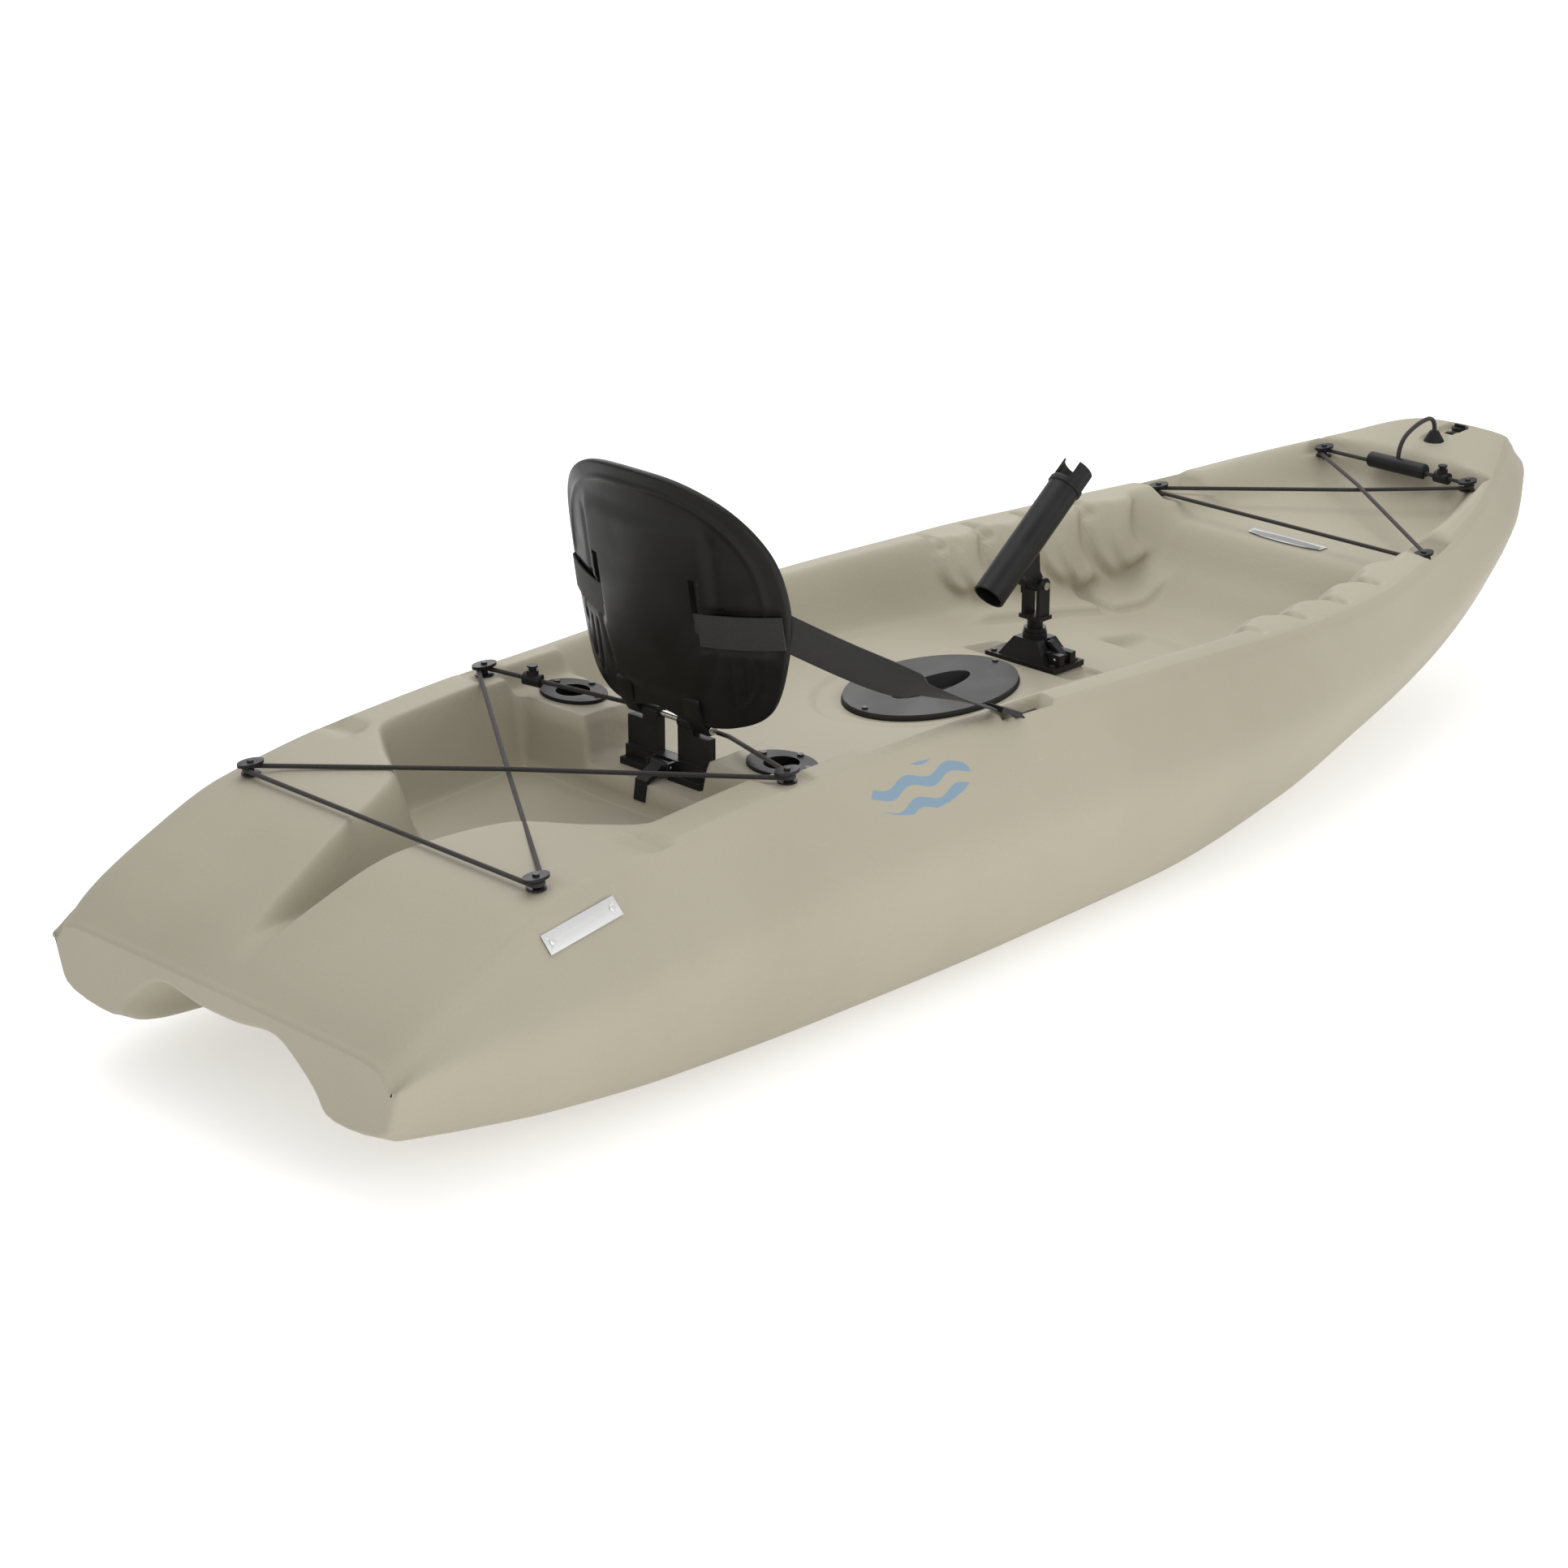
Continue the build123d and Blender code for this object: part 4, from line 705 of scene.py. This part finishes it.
rim_notch = within * on_wall * smooth(rise, 0.86, 0.97) * smooth(np.abs(beat - 0.5), 0.36, 0.5)
deck = deck - RIM_NOTCH * rim_notch

CUP_TILT, CUP_X, CUP_Y, CUP_DEEP = math.radians(15.0), 185.6, -549.0, 200.0
cup_gap = np.hypot(across - CUP_X, deck_y - CUP_Y)
sunk = 1 - smooth(cup_gap, 26.5, 31.0)
deck = deck - CUP_DEEP * math.cos(CUP_TILT) * sunk
deck_y = deck_y + CUP_DEEP * math.sin(CUP_TILT) * sunk

# %% [markdown]
# Under the rail the ring goes on as straight runs between the table's corners, and a few passes of
# averaging along the ring round them: the more passes, the softer the corner.

# %% Side and bottom
RUNS = (7, 8, 3, 5, 5, 4, 3)
tunnel_foot, tunnel_shoulder, shoulder_z, roof, roof_z, strip, strip_z = (
    curve_through(TUNNELS, along, c) for c in range(1, 8))
inside_tunnel = 1 - smooth(along, -900, -830)


def bottom_z(x):
    """Height of the plain bottom: straight from chine to keel, flat between the keel's edges."""
    return np.where(x > keel, keel_z + (chine_z - keel_z) * (x - keel) / (chine - keel + 1e-9), keel_z)


def mixed(inside, outside):
    """The tunnel's value near the stern and the plain bottom's forward, blended between."""
    return inside * inside_tunnel + outside * (1 - inside_tunnel)


scale = np.minimum(1, chine / 320)
foot_x, shoulder_x = np.minimum(tunnel_foot, chine * 0.72) * scale, tunnel_shoulder * scale
roof_x, strip_x = roof * scale, strip * scale
knots_x = np.stack([rail, crease, chine, foot_x, shoulder_x, roof_x, strip_x, 0 * rail], 1)
knots_z = np.stack([rail_z - edge, crease_z, chine_z, bottom_z(foot_x),
                    mixed(shoulder_z, bottom_z(shoulder_x)), mixed(roof_z, bottom_z(roof_x)),
                    mixed(strip_z, bottom_z(strip_x)), mixed(strip_z, keel_z)], 1)
side_x, side_z = [], []
for run, pieces in enumerate(RUNS):
    t = np.arange(pieces)[None, :] / pieces
    side_x.append(knots_x[:, run, None] * (1 - t) + knots_x[:, run + 1, None] * t)
    side_z.append(knots_z[:, run, None] * (1 - t) + knots_z[:, run + 1, None] * t)
side_x = np.concatenate(side_x + [knots_x[:, -1:]], 1)
side_z = np.concatenate(side_z + [knots_z[:, -1:]], 1)
turns = np.radians([30, 60])
corner_x = column(deck_half) + column(rail - deck_half) * np.sin(turns)[None, :]
corner_z = column(rail_z - edge) + column(edge) * np.cos(turns)[None, :]

# %% [markdown]
# The ring is closed and its runs under the rail are averaged with their neighbours, a quarter, a half
# and a quarter at each pass. The two ends get a quarter round, then a flat cap.

# %% Ring and mesh
ring_x = np.concatenate([deck_x, corner_x, side_x, -side_x[:, -2::-1], -corner_x[:, ::-1]], 1)
ring_z = np.concatenate([deck, corner_z, side_z, side_z[:, -2::-1], corner_z[:, ::-1]], 1)
ring_y = np.concatenate([deck_y, np.repeat(column(along), ring_x.shape[1] - deck_y.shape[1], 1)], 1)
FIRST_SIDE = deck_x.shape[1] + 2
RING_PASSES = 3
for _ in range(RING_PASSES):
    soft_x = (np.roll(ring_x, 1, 1) + 2 * ring_x + np.roll(ring_x, -1, 1)) / 4
    soft_z = (np.roll(ring_z, 1, 1) + 2 * ring_z + np.roll(ring_z, -1, 1)) / 4
    ring_x[:, FIRST_SIDE:-2] = soft_x[:, FIRST_SIDE:-2]
    ring_z[:, FIRST_SIDE:-2] = soft_z[:, FIRST_SIDE:-2]


def rounded_end(end, direction, radius):
    """Three more rings past an end, each moved in along its own normal, so that the edge of the end
    is a quarter round of the radius."""
    x, z = ring_x[end], ring_z[end]
    dx, dz = np.roll(x, -1) - np.roll(x, 1), np.roll(z, -1) - np.roll(z, 1)
    length = np.hypot(dx, dz) + 1e-9
    rings = []
    for angle in np.radians([35, 65, 90]):
        inwards = radius * (1 - math.cos(angle))
        rings.append(np.stack([x + dz / length * inwards, ring_y[end] + direction * radius * math.sin(angle),
                               z - dx / length * inwards], -1))
    return rings


STERN_ROUND, BOW_ROUND = 6.5, 4.0
squeeze = np.clip((ring_y + HALF_LONG) / 60, 0, 1)
ring_y = ring_y + STERN_ROUND * (1 - squeeze) - BOW_ROUND * np.clip((ring_y - HALF_LONG + 60) / 60, 0, 1)
body_rings = np.stack([ring_x, ring_y, ring_z], -1)


def node_points(name):
    """Corners of a node's own mesh, in millimetres."""
    mesh = nodes[name].data
    co = np.empty(3 * len(mesh.vertices), np.float32)
    mesh.vertices.foreach_get("co", co)
    return co.reshape(-1, 3).astype(float) * 1000


plate = node_points("nameplate")
plate_middle = (plate.min(0) + plate.max(0)) / 2
_, _, plate_axes = np.linalg.svd(plate - plate.mean(0), full_matrices=False)
if plate_axes[2, 0] < 0:
    plate_axes[2] *= -1
local = (body_rings - plate_middle) @ plate_axes.T
over_plate = ((1 - smooth(np.abs(local[..., 0]), 57, 62)) * (1 - smooth(np.abs(local[..., 1]), 14, 18))
              * (np.abs(local[..., 2]) < 25))
lift = np.minimum(0, -1.0 - local[..., 2]) * over_plate
body_rings = body_rings + lift[..., None] * plate_axes[2]
aft_rings, fore_rings = rounded_end(0, -1, STERN_ROUND), rounded_end(-1, 1, BOW_ROUND)
hull_points = np.concatenate([np.array(aft_rings[::-1]), body_rings, np.array(fore_rings)], 0)
rows_all, cols_all = hull_points.shape[:2]
faces = grid_faces(rows_all, cols_all, True).tolist()


def end_cap(row, flip):
    """Triangles over an end ring. The ring's two runs, deck and bottom, are walked together from
    port to starboard, and each step joins the point that lies next across the boat."""
    ring = hull_points[row]
    port = int(np.argmin(ring[:, 0] + 0.001 * ring[:, 2]))
    order = (np.arange(cols_all) + port) % cols_all
    starboard = int(np.argmax(ring[order, 0]))
    upper, lower = order[:starboard + 1], np.concatenate([order[:1], order[:starboard - 1:-1]])
    i = j = 0
    made = []
    while i < len(upper) - 1 or j < len(lower) - 1:
        step_up = j == len(lower) - 1 or (i < len(upper) - 1
                                          and ring[upper[i + 1], 0] <= ring[lower[j + 1], 0])
        third = upper[i + 1] if step_up else lower[j + 1]
        corners = [upper[i], lower[j], third]
        if len(set(corners)) == 3:
            made.append([row * cols_all + int(k) for k in (corners[::-1] if flip else corners)])
        i, j = (i + 1, j) if step_up else (i, j + 1)
    return made


faces += end_cap(0, False) + end_cap(rows_all - 1, True)
hull_skin = write_mesh("hull_skin", hull_points, faces, "hull", hull_plastic)
flat_ends = np.ones(len(hull_skin.data.polygons), bool)
flat_ends[(rows_all - 1) * cols_all:] = False
hull_skin.data.polygons.foreach_set("use_smooth", flat_ends)
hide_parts("hull")
print("hull skin", rows_all, "x", cols_all, "about", 2 * rows_all * cols_all, "triangles")

# %% [markdown]
# ## Seat back
# The seat back is a blow-moulded shell, bent round a cylinder so that it holds the paddler's back.
# It is drawn in its own upright frame and leaned back about its hinge at the end. Its outline is a
# closed smooth curve, and every point inside lies on a ray from the middle to that outline, so the
# same two numbers, angle and share of the way out, also carry the mouldings on its back.

# %% Seat frame and outline
HINGE = np.array([0.0, -556.0, 317.0])
SEAT_LEAN = math.radians(9.0)
SEAT_HALF, SEAT_HIGH, SEAT_BOW = 186.0, 343.0, 322.0
SEAT_SHELL = 5.0


def seat_world(points):
    """Points of the upright seat frame, leaned aft about the hinge and moved to it."""
    x, y, z = points[..., 0], points[..., 1], points[..., 2]
    c, s = math.cos(SEAT_LEAN), math.sin(SEAT_LEAN)
    return np.stack([x, y * c - z * s, y * s + z * c], -1) + HINGE


def closed_curve(points, count):
    """Smooth closed curve through a few points: between each pair, the cubic whose end slopes are
    half the step from the point before to the point after."""
    points = np.array(points, float)
    place = np.arange(count) / count * len(points)
    i = place.astype(int)
    t = (place - i)[:, None]
    before, a, b, after = (points[(i + k) % len(points)] for k in (-1, 0, 1, 2))
    return 0.5 * (2 * a + (b - before) * t + (2 * before - 5 * a + 4 * b - after) * t * t
                  + (3 * a - before - 3 * b + after) * t ** 3)


def seat_outline(margin, foot, count):
    """Outline of the seat back in x and z, a margin inside its edge and not lower than foot."""
    w, h = SEAT_HALF - margin, SEAT_HIGH - margin
    half = [(0.30 * w, foot), (0.60 * w, foot + 2), (0.84 * w, foot + 26), (0.965 * w, 0.32 * h),
            (w, 0.52 * h), (0.93 * w, 0.72 * h), (0.72 * w, 0.88 * h), (0.40 * w, 0.975 * h)]
    left = [(-x, z) for x, z in reversed(half)]
    return closed_curve([(0, foot + 12)] + half + [(0, h)] + left, count)


def bent(x, radius):
    """How far forward the upright cylinder of a radius stands at x."""
    return (SEAT_BOW - 20) - np.sqrt(radius ** 2 - x ** 2)


# %% [markdown]
# The shell's back carries a raised panel, piping inside its edge, a band for the strap and three
# flutes on each side. Each is a ridge or a groove whose height falls off as a bell curve across it.


# %% Shell of the seat back
SPOKES, RINGS = 240, 56
SHELL_FOOT = 12.0
seat_edge = seat_outline(0, SHELL_FOOT, SPOKES)
seat_middle = np.array([0.0, 178.0])


def spread(edge, shares):
    """Points on the rays from the seat's middle to its outline, at each share of the way."""
    return seat_middle + (edge[None] - seat_middle) * shares[:, None, None]


back_share = np.linspace(0.01, 1.0, RINGS) ** 0.85
back = spread(seat_edge, back_share)
bx, bz = back[..., 0], back[..., 1]
to_edge = (1 - back_share[:, None]) * np.linalg.norm(seat_edge - seat_middle, axis=1)[None]
upper = smooth(bz, 165, 190)
piping = np.exp(-((to_edge - 19) / 3.2) ** 2) * upper
lower_line = np.exp(-((to_edge - 22) / 3.0) ** 2) * (1 - upper) * smooth(np.abs(bx), 110, 135)
panel_half = 104 - 34 * smooth(-bz, -170, -20)
panel = ((1 - smooth(np.abs(bx), panel_half - 9, panel_half + 5))
         * smooth(bz, 34, 58) * (1 - smooth(bz, 268, 296)))
panel_groove = (np.exp(-((np.abs(bx) - panel_half - 9) / 5.0) ** 2)
                * smooth(bz, 40, 70) * (1 - smooth(bz, 250, 280)))
band = smooth(bz, 112, 120) * (1 - smooth(bz, 170, 178)) * smooth(np.abs(bx), 78, 90)
flutes = sum(np.exp(-((np.abs(bx) - x) / 2.6) ** 2) * smooth(bz, low, low + 12) * (1 - smooth(bz, 100, 112))
             for x, low in ((116, 30), (134, 36), (152, 52)))
relief = 3.0 * piping + 2.2 * lower_line + 5.0 * panel - 2.5 * panel_groove - 3.0 * band - 3.0 * flutes
relief = relief * smooth(to_edge, 2, 10)
shell_back = np.stack([bx, bent(bx, SEAT_BOW) - relief, bz], -1)
turn = np.radians([30, 60, 90, 120, 150])
rim_half = SEAT_SHELL / 2 + 3
rim = []
for angle in turn:
    out_by = 1 + 0.013 * math.sin(angle)
    ring = seat_middle + (seat_edge - seat_middle) * out_by
    forward = bent(seat_edge[:, 0], SEAT_BOW) + rim_half * (1 - math.cos(angle))
    rim.append(np.stack([ring[:, 0], forward, ring[:, 1]], -1))
front = spread(seat_edge, back_share[::-1] * 0.985)
lip = smooth(back_share[::-1][:, None], 0.90, 0.97)
front_y = bent(front[..., 0], SEAT_BOW) + SEAT_SHELL + (2 * rim_half - SEAT_SHELL) * lip
shell_front = np.stack([front[..., 0], front_y, front[..., 1]], -1)
shell_points = np.concatenate([shell_back, np.array(rim), shell_front], 0)
shell_rows = shell_points.shape[0]
shell_faces = grid_faces(shell_rows, SPOKES, True).tolist() + end_faces(shell_rows, SPOKES)


def face_out(piece):
    """Turns a closed piece's faces outwards."""
    bm = bmesh.new()
    bm.from_mesh(piece.data)
    bmesh.ops.recalc_face_normals(bm, faces=bm.faces)
    bm.to_mesh(piece.data)
    bm.free()


def cut_boxes(piece, boxes):
    """Cuts upright boxes of the seat frame, given as x, z and half sizes, through a piece."""
    for x, z, half_x, half_z in boxes:
        corners = np.array([[x + sx * half_x, y, z + sz * half_z]
                            for y in (-70.0, 110.0) for sz in (-1, 1) for sx in (-1, 1)])
        box_faces = [(0, 1, 3, 2), (4, 6, 7, 5), (0, 4, 5, 1), (2, 3, 7, 6), (0, 2, 6, 4), (1, 5, 7, 3)]
        mesh = bpy.data.meshes.new("cutter")
        mesh.from_pydata(seat_world(corners) * 0.001, [], box_faces)
        cutter = bpy.data.objects.new("cutter", mesh)
        bpy.context.scene.collection.objects.link(cutter)
        face_out(cutter)
        cut = piece.modifiers.new("cut", "BOOLEAN")
        cut.operation, cut.object, cut.solver = "DIFFERENCE", cutter, "EXACT"
        bpy.context.view_layer.update()
        done = bpy.data.meshes.new_from_object(piece.evaluated_get(bpy.context.evaluated_depsgraph_get()))
        piece.modifiers.clear()
        piece.data = done
        bpy.data.objects.remove(cutter)


WINDOWS = [(side * 86.0, 177.0, 6.0, 36.0) for side in (-1, 1)]
shell = write_mesh("seat_back_shell", seat_world(shell_points), shell_faces, "seat_back", seat_plastic)
face_out(shell)
cut_boxes(shell, WINDOWS)
print("seat shell", len(shell.data.polygons), "faces")

# %% [markdown]
# The shell's two lugs turn on the hinge pin beside the fixed knuckles. Each is one outline, an eye at
# the pin and an arm up to the shell, carried along the pin with its edges drawn in a little.

# %% Hinge lugs
LUG_IN, LUG_OUT = 45.3, 72.0       # along the pin, from the middle of the boat
lug_profile = closed_curve([(9, 0), (6.4, -6.4), (0, -9), (-6.4, -6.4), (-9.6, 0), (-15, 10), (-19, 24),
                            (-19, 46), (-12, 47), (-10, 30), (-3, 12), (5, 8)], 72)


def lug(side):
    """The lug's outline in y and z, carried along x with rounded ends."""
    rows = []
    for share, inset in ((0, 1.6), (0.03, 0.5), (0.08, 0), (0.92, 0), (0.97, 0.5), (1, 1.6)):
        middle = lug_profile.mean(0)
        outline = middle + (lug_profile - middle) * (1 - inset / 14)
        x = side * (LUG_IN + (LUG_OUT - LUG_IN) * share)
        rows.append(np.stack([np.full(len(outline), x), outline[:, 0], outline[:, 1]], -1))
    points = np.array(rows)
    count = points.shape[1]
    lug_faces = grid_faces(len(rows), count, True).tolist() + end_faces(len(rows), count)
    name = "seat_lug_starboard" if side > 0 else "seat_lug_port"
    piece = write_mesh(name, seat_world(points), lug_faces, "seat_back", seat_plastic)
    face_out(piece)


for side in (-1, 1):
    lug(side)
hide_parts("seat_shell")

# %% [markdown]
# ## Seat pad
# The pad is foam under cloth, sewn to the shell round its edge and along channels. A cloth simulation
# would swell it evenly; here the swell is worked out instead, because its seams then stay exactly
# where the needle put them: thickness rises from each seam like a loaded beam, and the cloth wrinkles
# a little across the seam's pull.

# %% Pad
PAD_RINGS, PAD_SPOKES = 70, 260
pad_edge = seat_outline(10, 51.0, PAD_SPOKES)
pad_share = np.linspace(0.01, 1.0, PAD_RINGS) ** 0.8
pad_flat = spread(pad_edge, pad_share)
px, pz = pad_flat[..., 0], pad_flat[..., 1]
pad_in = (1 - pad_share[:, None]) * np.linalg.norm(pad_edge - seat_middle, axis=1)[None]
CHANNELS = (96.0, 146.0, 196.0, 246.0)
seam = np.min([np.abs(pz - z - 6 * (px / 150) ** 2) for z in CHANNELS], axis=0)
seam = np.where(np.abs(px) < 112, seam, np.minimum(60.0, np.abs(np.abs(px) - 112)))
side_seam = np.abs(np.abs(px) - 112) + 50 * (1 - smooth(pz, 84, 92)) + 50 * smooth(pz, 250, 262)
nearest = np.minimum(seam, side_seam)
swell = np.sqrt(np.clip(1 - (1 - np.clip(nearest / 16, 0, 1)) ** 2, 0, 1))
border = np.sqrt(np.clip(1 - (1 - np.clip(pad_in / 14, 0, 1)) ** 2, 0, 1))
pucker = 0.5 * np.sin(px / 3.1 + 3 * np.sin(pz / 17)) * np.exp(-nearest / 5)
pad_thick = (8.0 + 9.0 * swell + pucker) * border + 1.5
pad_back_y = bent(px, SEAT_BOW) + SEAT_SHELL + 0.6
pad_front = np.stack([px, pad_back_y + pad_thick, pz], -1)
pad_rear = np.stack([px, pad_back_y, pz], -1)[::-1]
pad_points = np.concatenate([pad_front, pad_rear], 0)
pad_faces = grid_faces(2 * PAD_RINGS, PAD_SPOKES, True).tolist() + end_faces(2 * PAD_RINGS, PAD_SPOKES)
pad_uv = np.concatenate([pad_flat, pad_flat[::-1]], 0) * 0.001
pad = write_mesh("seat_back_pad", seat_world(pad_points), pad_faces, "seat_back", seat_cloth, pad_uv)
face_out(pad)
cut_boxes(pad, WINDOWS)
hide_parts("seat_pad")
print("pad", len(pad.data.polygons), "faces, swell to", round(float(pad_thick.max()), 1), "mm")

# %% [markdown]
# ## Seat straps
# Each strap leaves the edge of the seat back as a wide sewn band and turns flat as it nears its
# buckle on the rail. It is a flat rounded section carried along its route while its width and its
# twist change, and its cloth coordinates run along and across it in metres.


# %% Strap
BAND_ROWS, BAND_COLS = 90, 32


def strap(side):
    """Flat band from the seat's edge to the buckle, its section turned from upright to level."""
    word = "starboard" if side > 0 else "port"
    start = seat_world(np.array([side * (SEAT_HALF - 7.0), 41.0, 0.36 * SEAT_HIGH + 22]))
    low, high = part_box(f"strap_buckle_{word}")
    end = np.array([(low.x + high.x) / 2, low.y + 0.001, high.z - 0.0045]) * 1000
    t = np.linspace(0, 1, BAND_ROWS)[:, None]
    middle = start + (end - start) * t
    middle[:, 2] -= 10 * np.sin(np.pi * t[:, 0])
    middle[:, 0] += side * 3 * np.sin(np.pi * t[:, 0])
    wide = 44 - 19 * smooth(t, 0.60, 0.66)
    thick = 4.6 - 2.2 * smooth(t, 0.60, 0.66)
    twist = side * np.radians(84) * smooth(t, 0.35, 1.0)
    around = np.linspace(0, 2 * np.pi, BAND_COLS, endpoint=False)[None, :]
    flat = np.sign(np.cos(around)) * np.abs(np.cos(around)) ** 0.35 * wide / 2
    deep = np.sign(np.sin(around)) * np.abs(np.sin(around)) ** 0.35 * thick / 2
    hem = 1 - 0.28 * np.exp(-((np.abs(flat) - wide / 2 + 3.0) / 0.9) ** 2)
    deep = deep * hem
    c, s = np.cos(twist), np.sin(twist)
    forward = (end - start) / np.linalg.norm(end - start)
    across_axis = np.cross(forward, [0, 0, 1.0])
    across_axis = across_axis / np.linalg.norm(across_axis)
    up_axis = np.cross(across_axis, forward)
    points = (middle[:, None, :] + (flat * c - deep * s)[..., None] * up_axis
              + (flat * s + deep * c)[..., None] * across_axis)
    long = np.linalg.norm(end - start)
    uv = np.stack(np.broadcast_arrays(t * long * 0.001, flat * 0.001), -1)
    band_faces = grid_faces(BAND_ROWS, BAND_COLS, True).tolist() + end_faces(BAND_ROWS, BAND_COLS)
    piece = write_mesh(f"seat_webbing_{word}", points, band_faces, None, webbing, uv)
    face_out(piece)
    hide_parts(f"seat_strap_{word}")
    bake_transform(piece)


for side in (-1, 1):
    strap(side)

# %% [markdown]
# ## Carrying rope
# The rope is short and limp. It comes straight up out of its boot, turns aft and drops into the
# handle. A NURBS curve with its points on that route is as smooth as the rope.

# %% Rope
_, boot_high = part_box("bow_boot")
handle_low, handle_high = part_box("bow_handle")
exit_y, exit_z = 1.0900, boot_high.z
grip_y, grip_z = (handle_low.y + handle_high.y) / 2, (handle_low.z + handle_high.z) / 2
ROPE_D = 0.007
rope_points = [(0, exit_y, exit_z), (0, exit_y, exit_z + 0.024), (0, exit_y - 0.046, exit_z + 0.022),
               (0, grip_y, grip_z + 0.036), (0, grip_y, grip_z + 0.008)]
rope_curve = bpy.data.curves.new("carrying_rope", "CURVE")
rope_curve.dimensions = "3D"
line = rope_curve.splines.new("NURBS")
line.points.add(len(rope_points) - 1)
for point, place in zip(line.points, rope_points):
    point.co = (*place, 1)
line.order_u = 3
line.use_endpoint_u = True
rope_curve.resolution_u = 24
rope_curve.bevel_depth = ROPE_D / 2
rope_curve.bevel_resolution = 5
rope_curve.materials.append(cord_cloth)
rope = bpy.data.objects.new("carrying_rope", rope_curve)
bpy.context.scene.collection.objects.link(rope)
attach(rope, "carry_handle")
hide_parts("bow_rope")
centre_line = rope_curve.copy()
centre_line.bevel_depth = 0
measure = bpy.data.objects.new("measure", centre_line)
bpy.context.scene.collection.objects.link(measure)
bpy.context.view_layer.update()
path = bpy.data.meshes.new_from_object(measure.evaluated_get(bpy.context.evaluated_depsgraph_get()))
bpy.data.objects.remove(measure)
bpy.data.curves.remove(centre_line)

# %% [markdown]
# ## Floor and finish
# The floor is pale and plain. It belongs to the stage and not to the boat.

# %% Floor
floor_mesh = bpy.data.meshes.new("floor")
floor_mesh.from_pydata([(-30, -30, 0), (30, -30, 0), (30, 30, 0), (-30, 30, 0)], [], [(0, 1, 2, 3)])
floor = bpy.data.objects.new("floor", floor_mesh)
bpy.context.scene.collection.objects.link(floor)


def floor_paint(place, uv):
    """Nearly white, with a slow change of tone too faint to read as a pattern."""
    return place.noise(0.6, 2.0).mix((0.86, 0.86, 0.86), (0.89, 0.89, 0.89)), None, None


floor_mesh.materials.append(material("floor_paint", 0.9, floor_paint, Emission_Color=(1.0, 1.0, 1.0, 1.0),
                                     Emission_Strength=0.42))
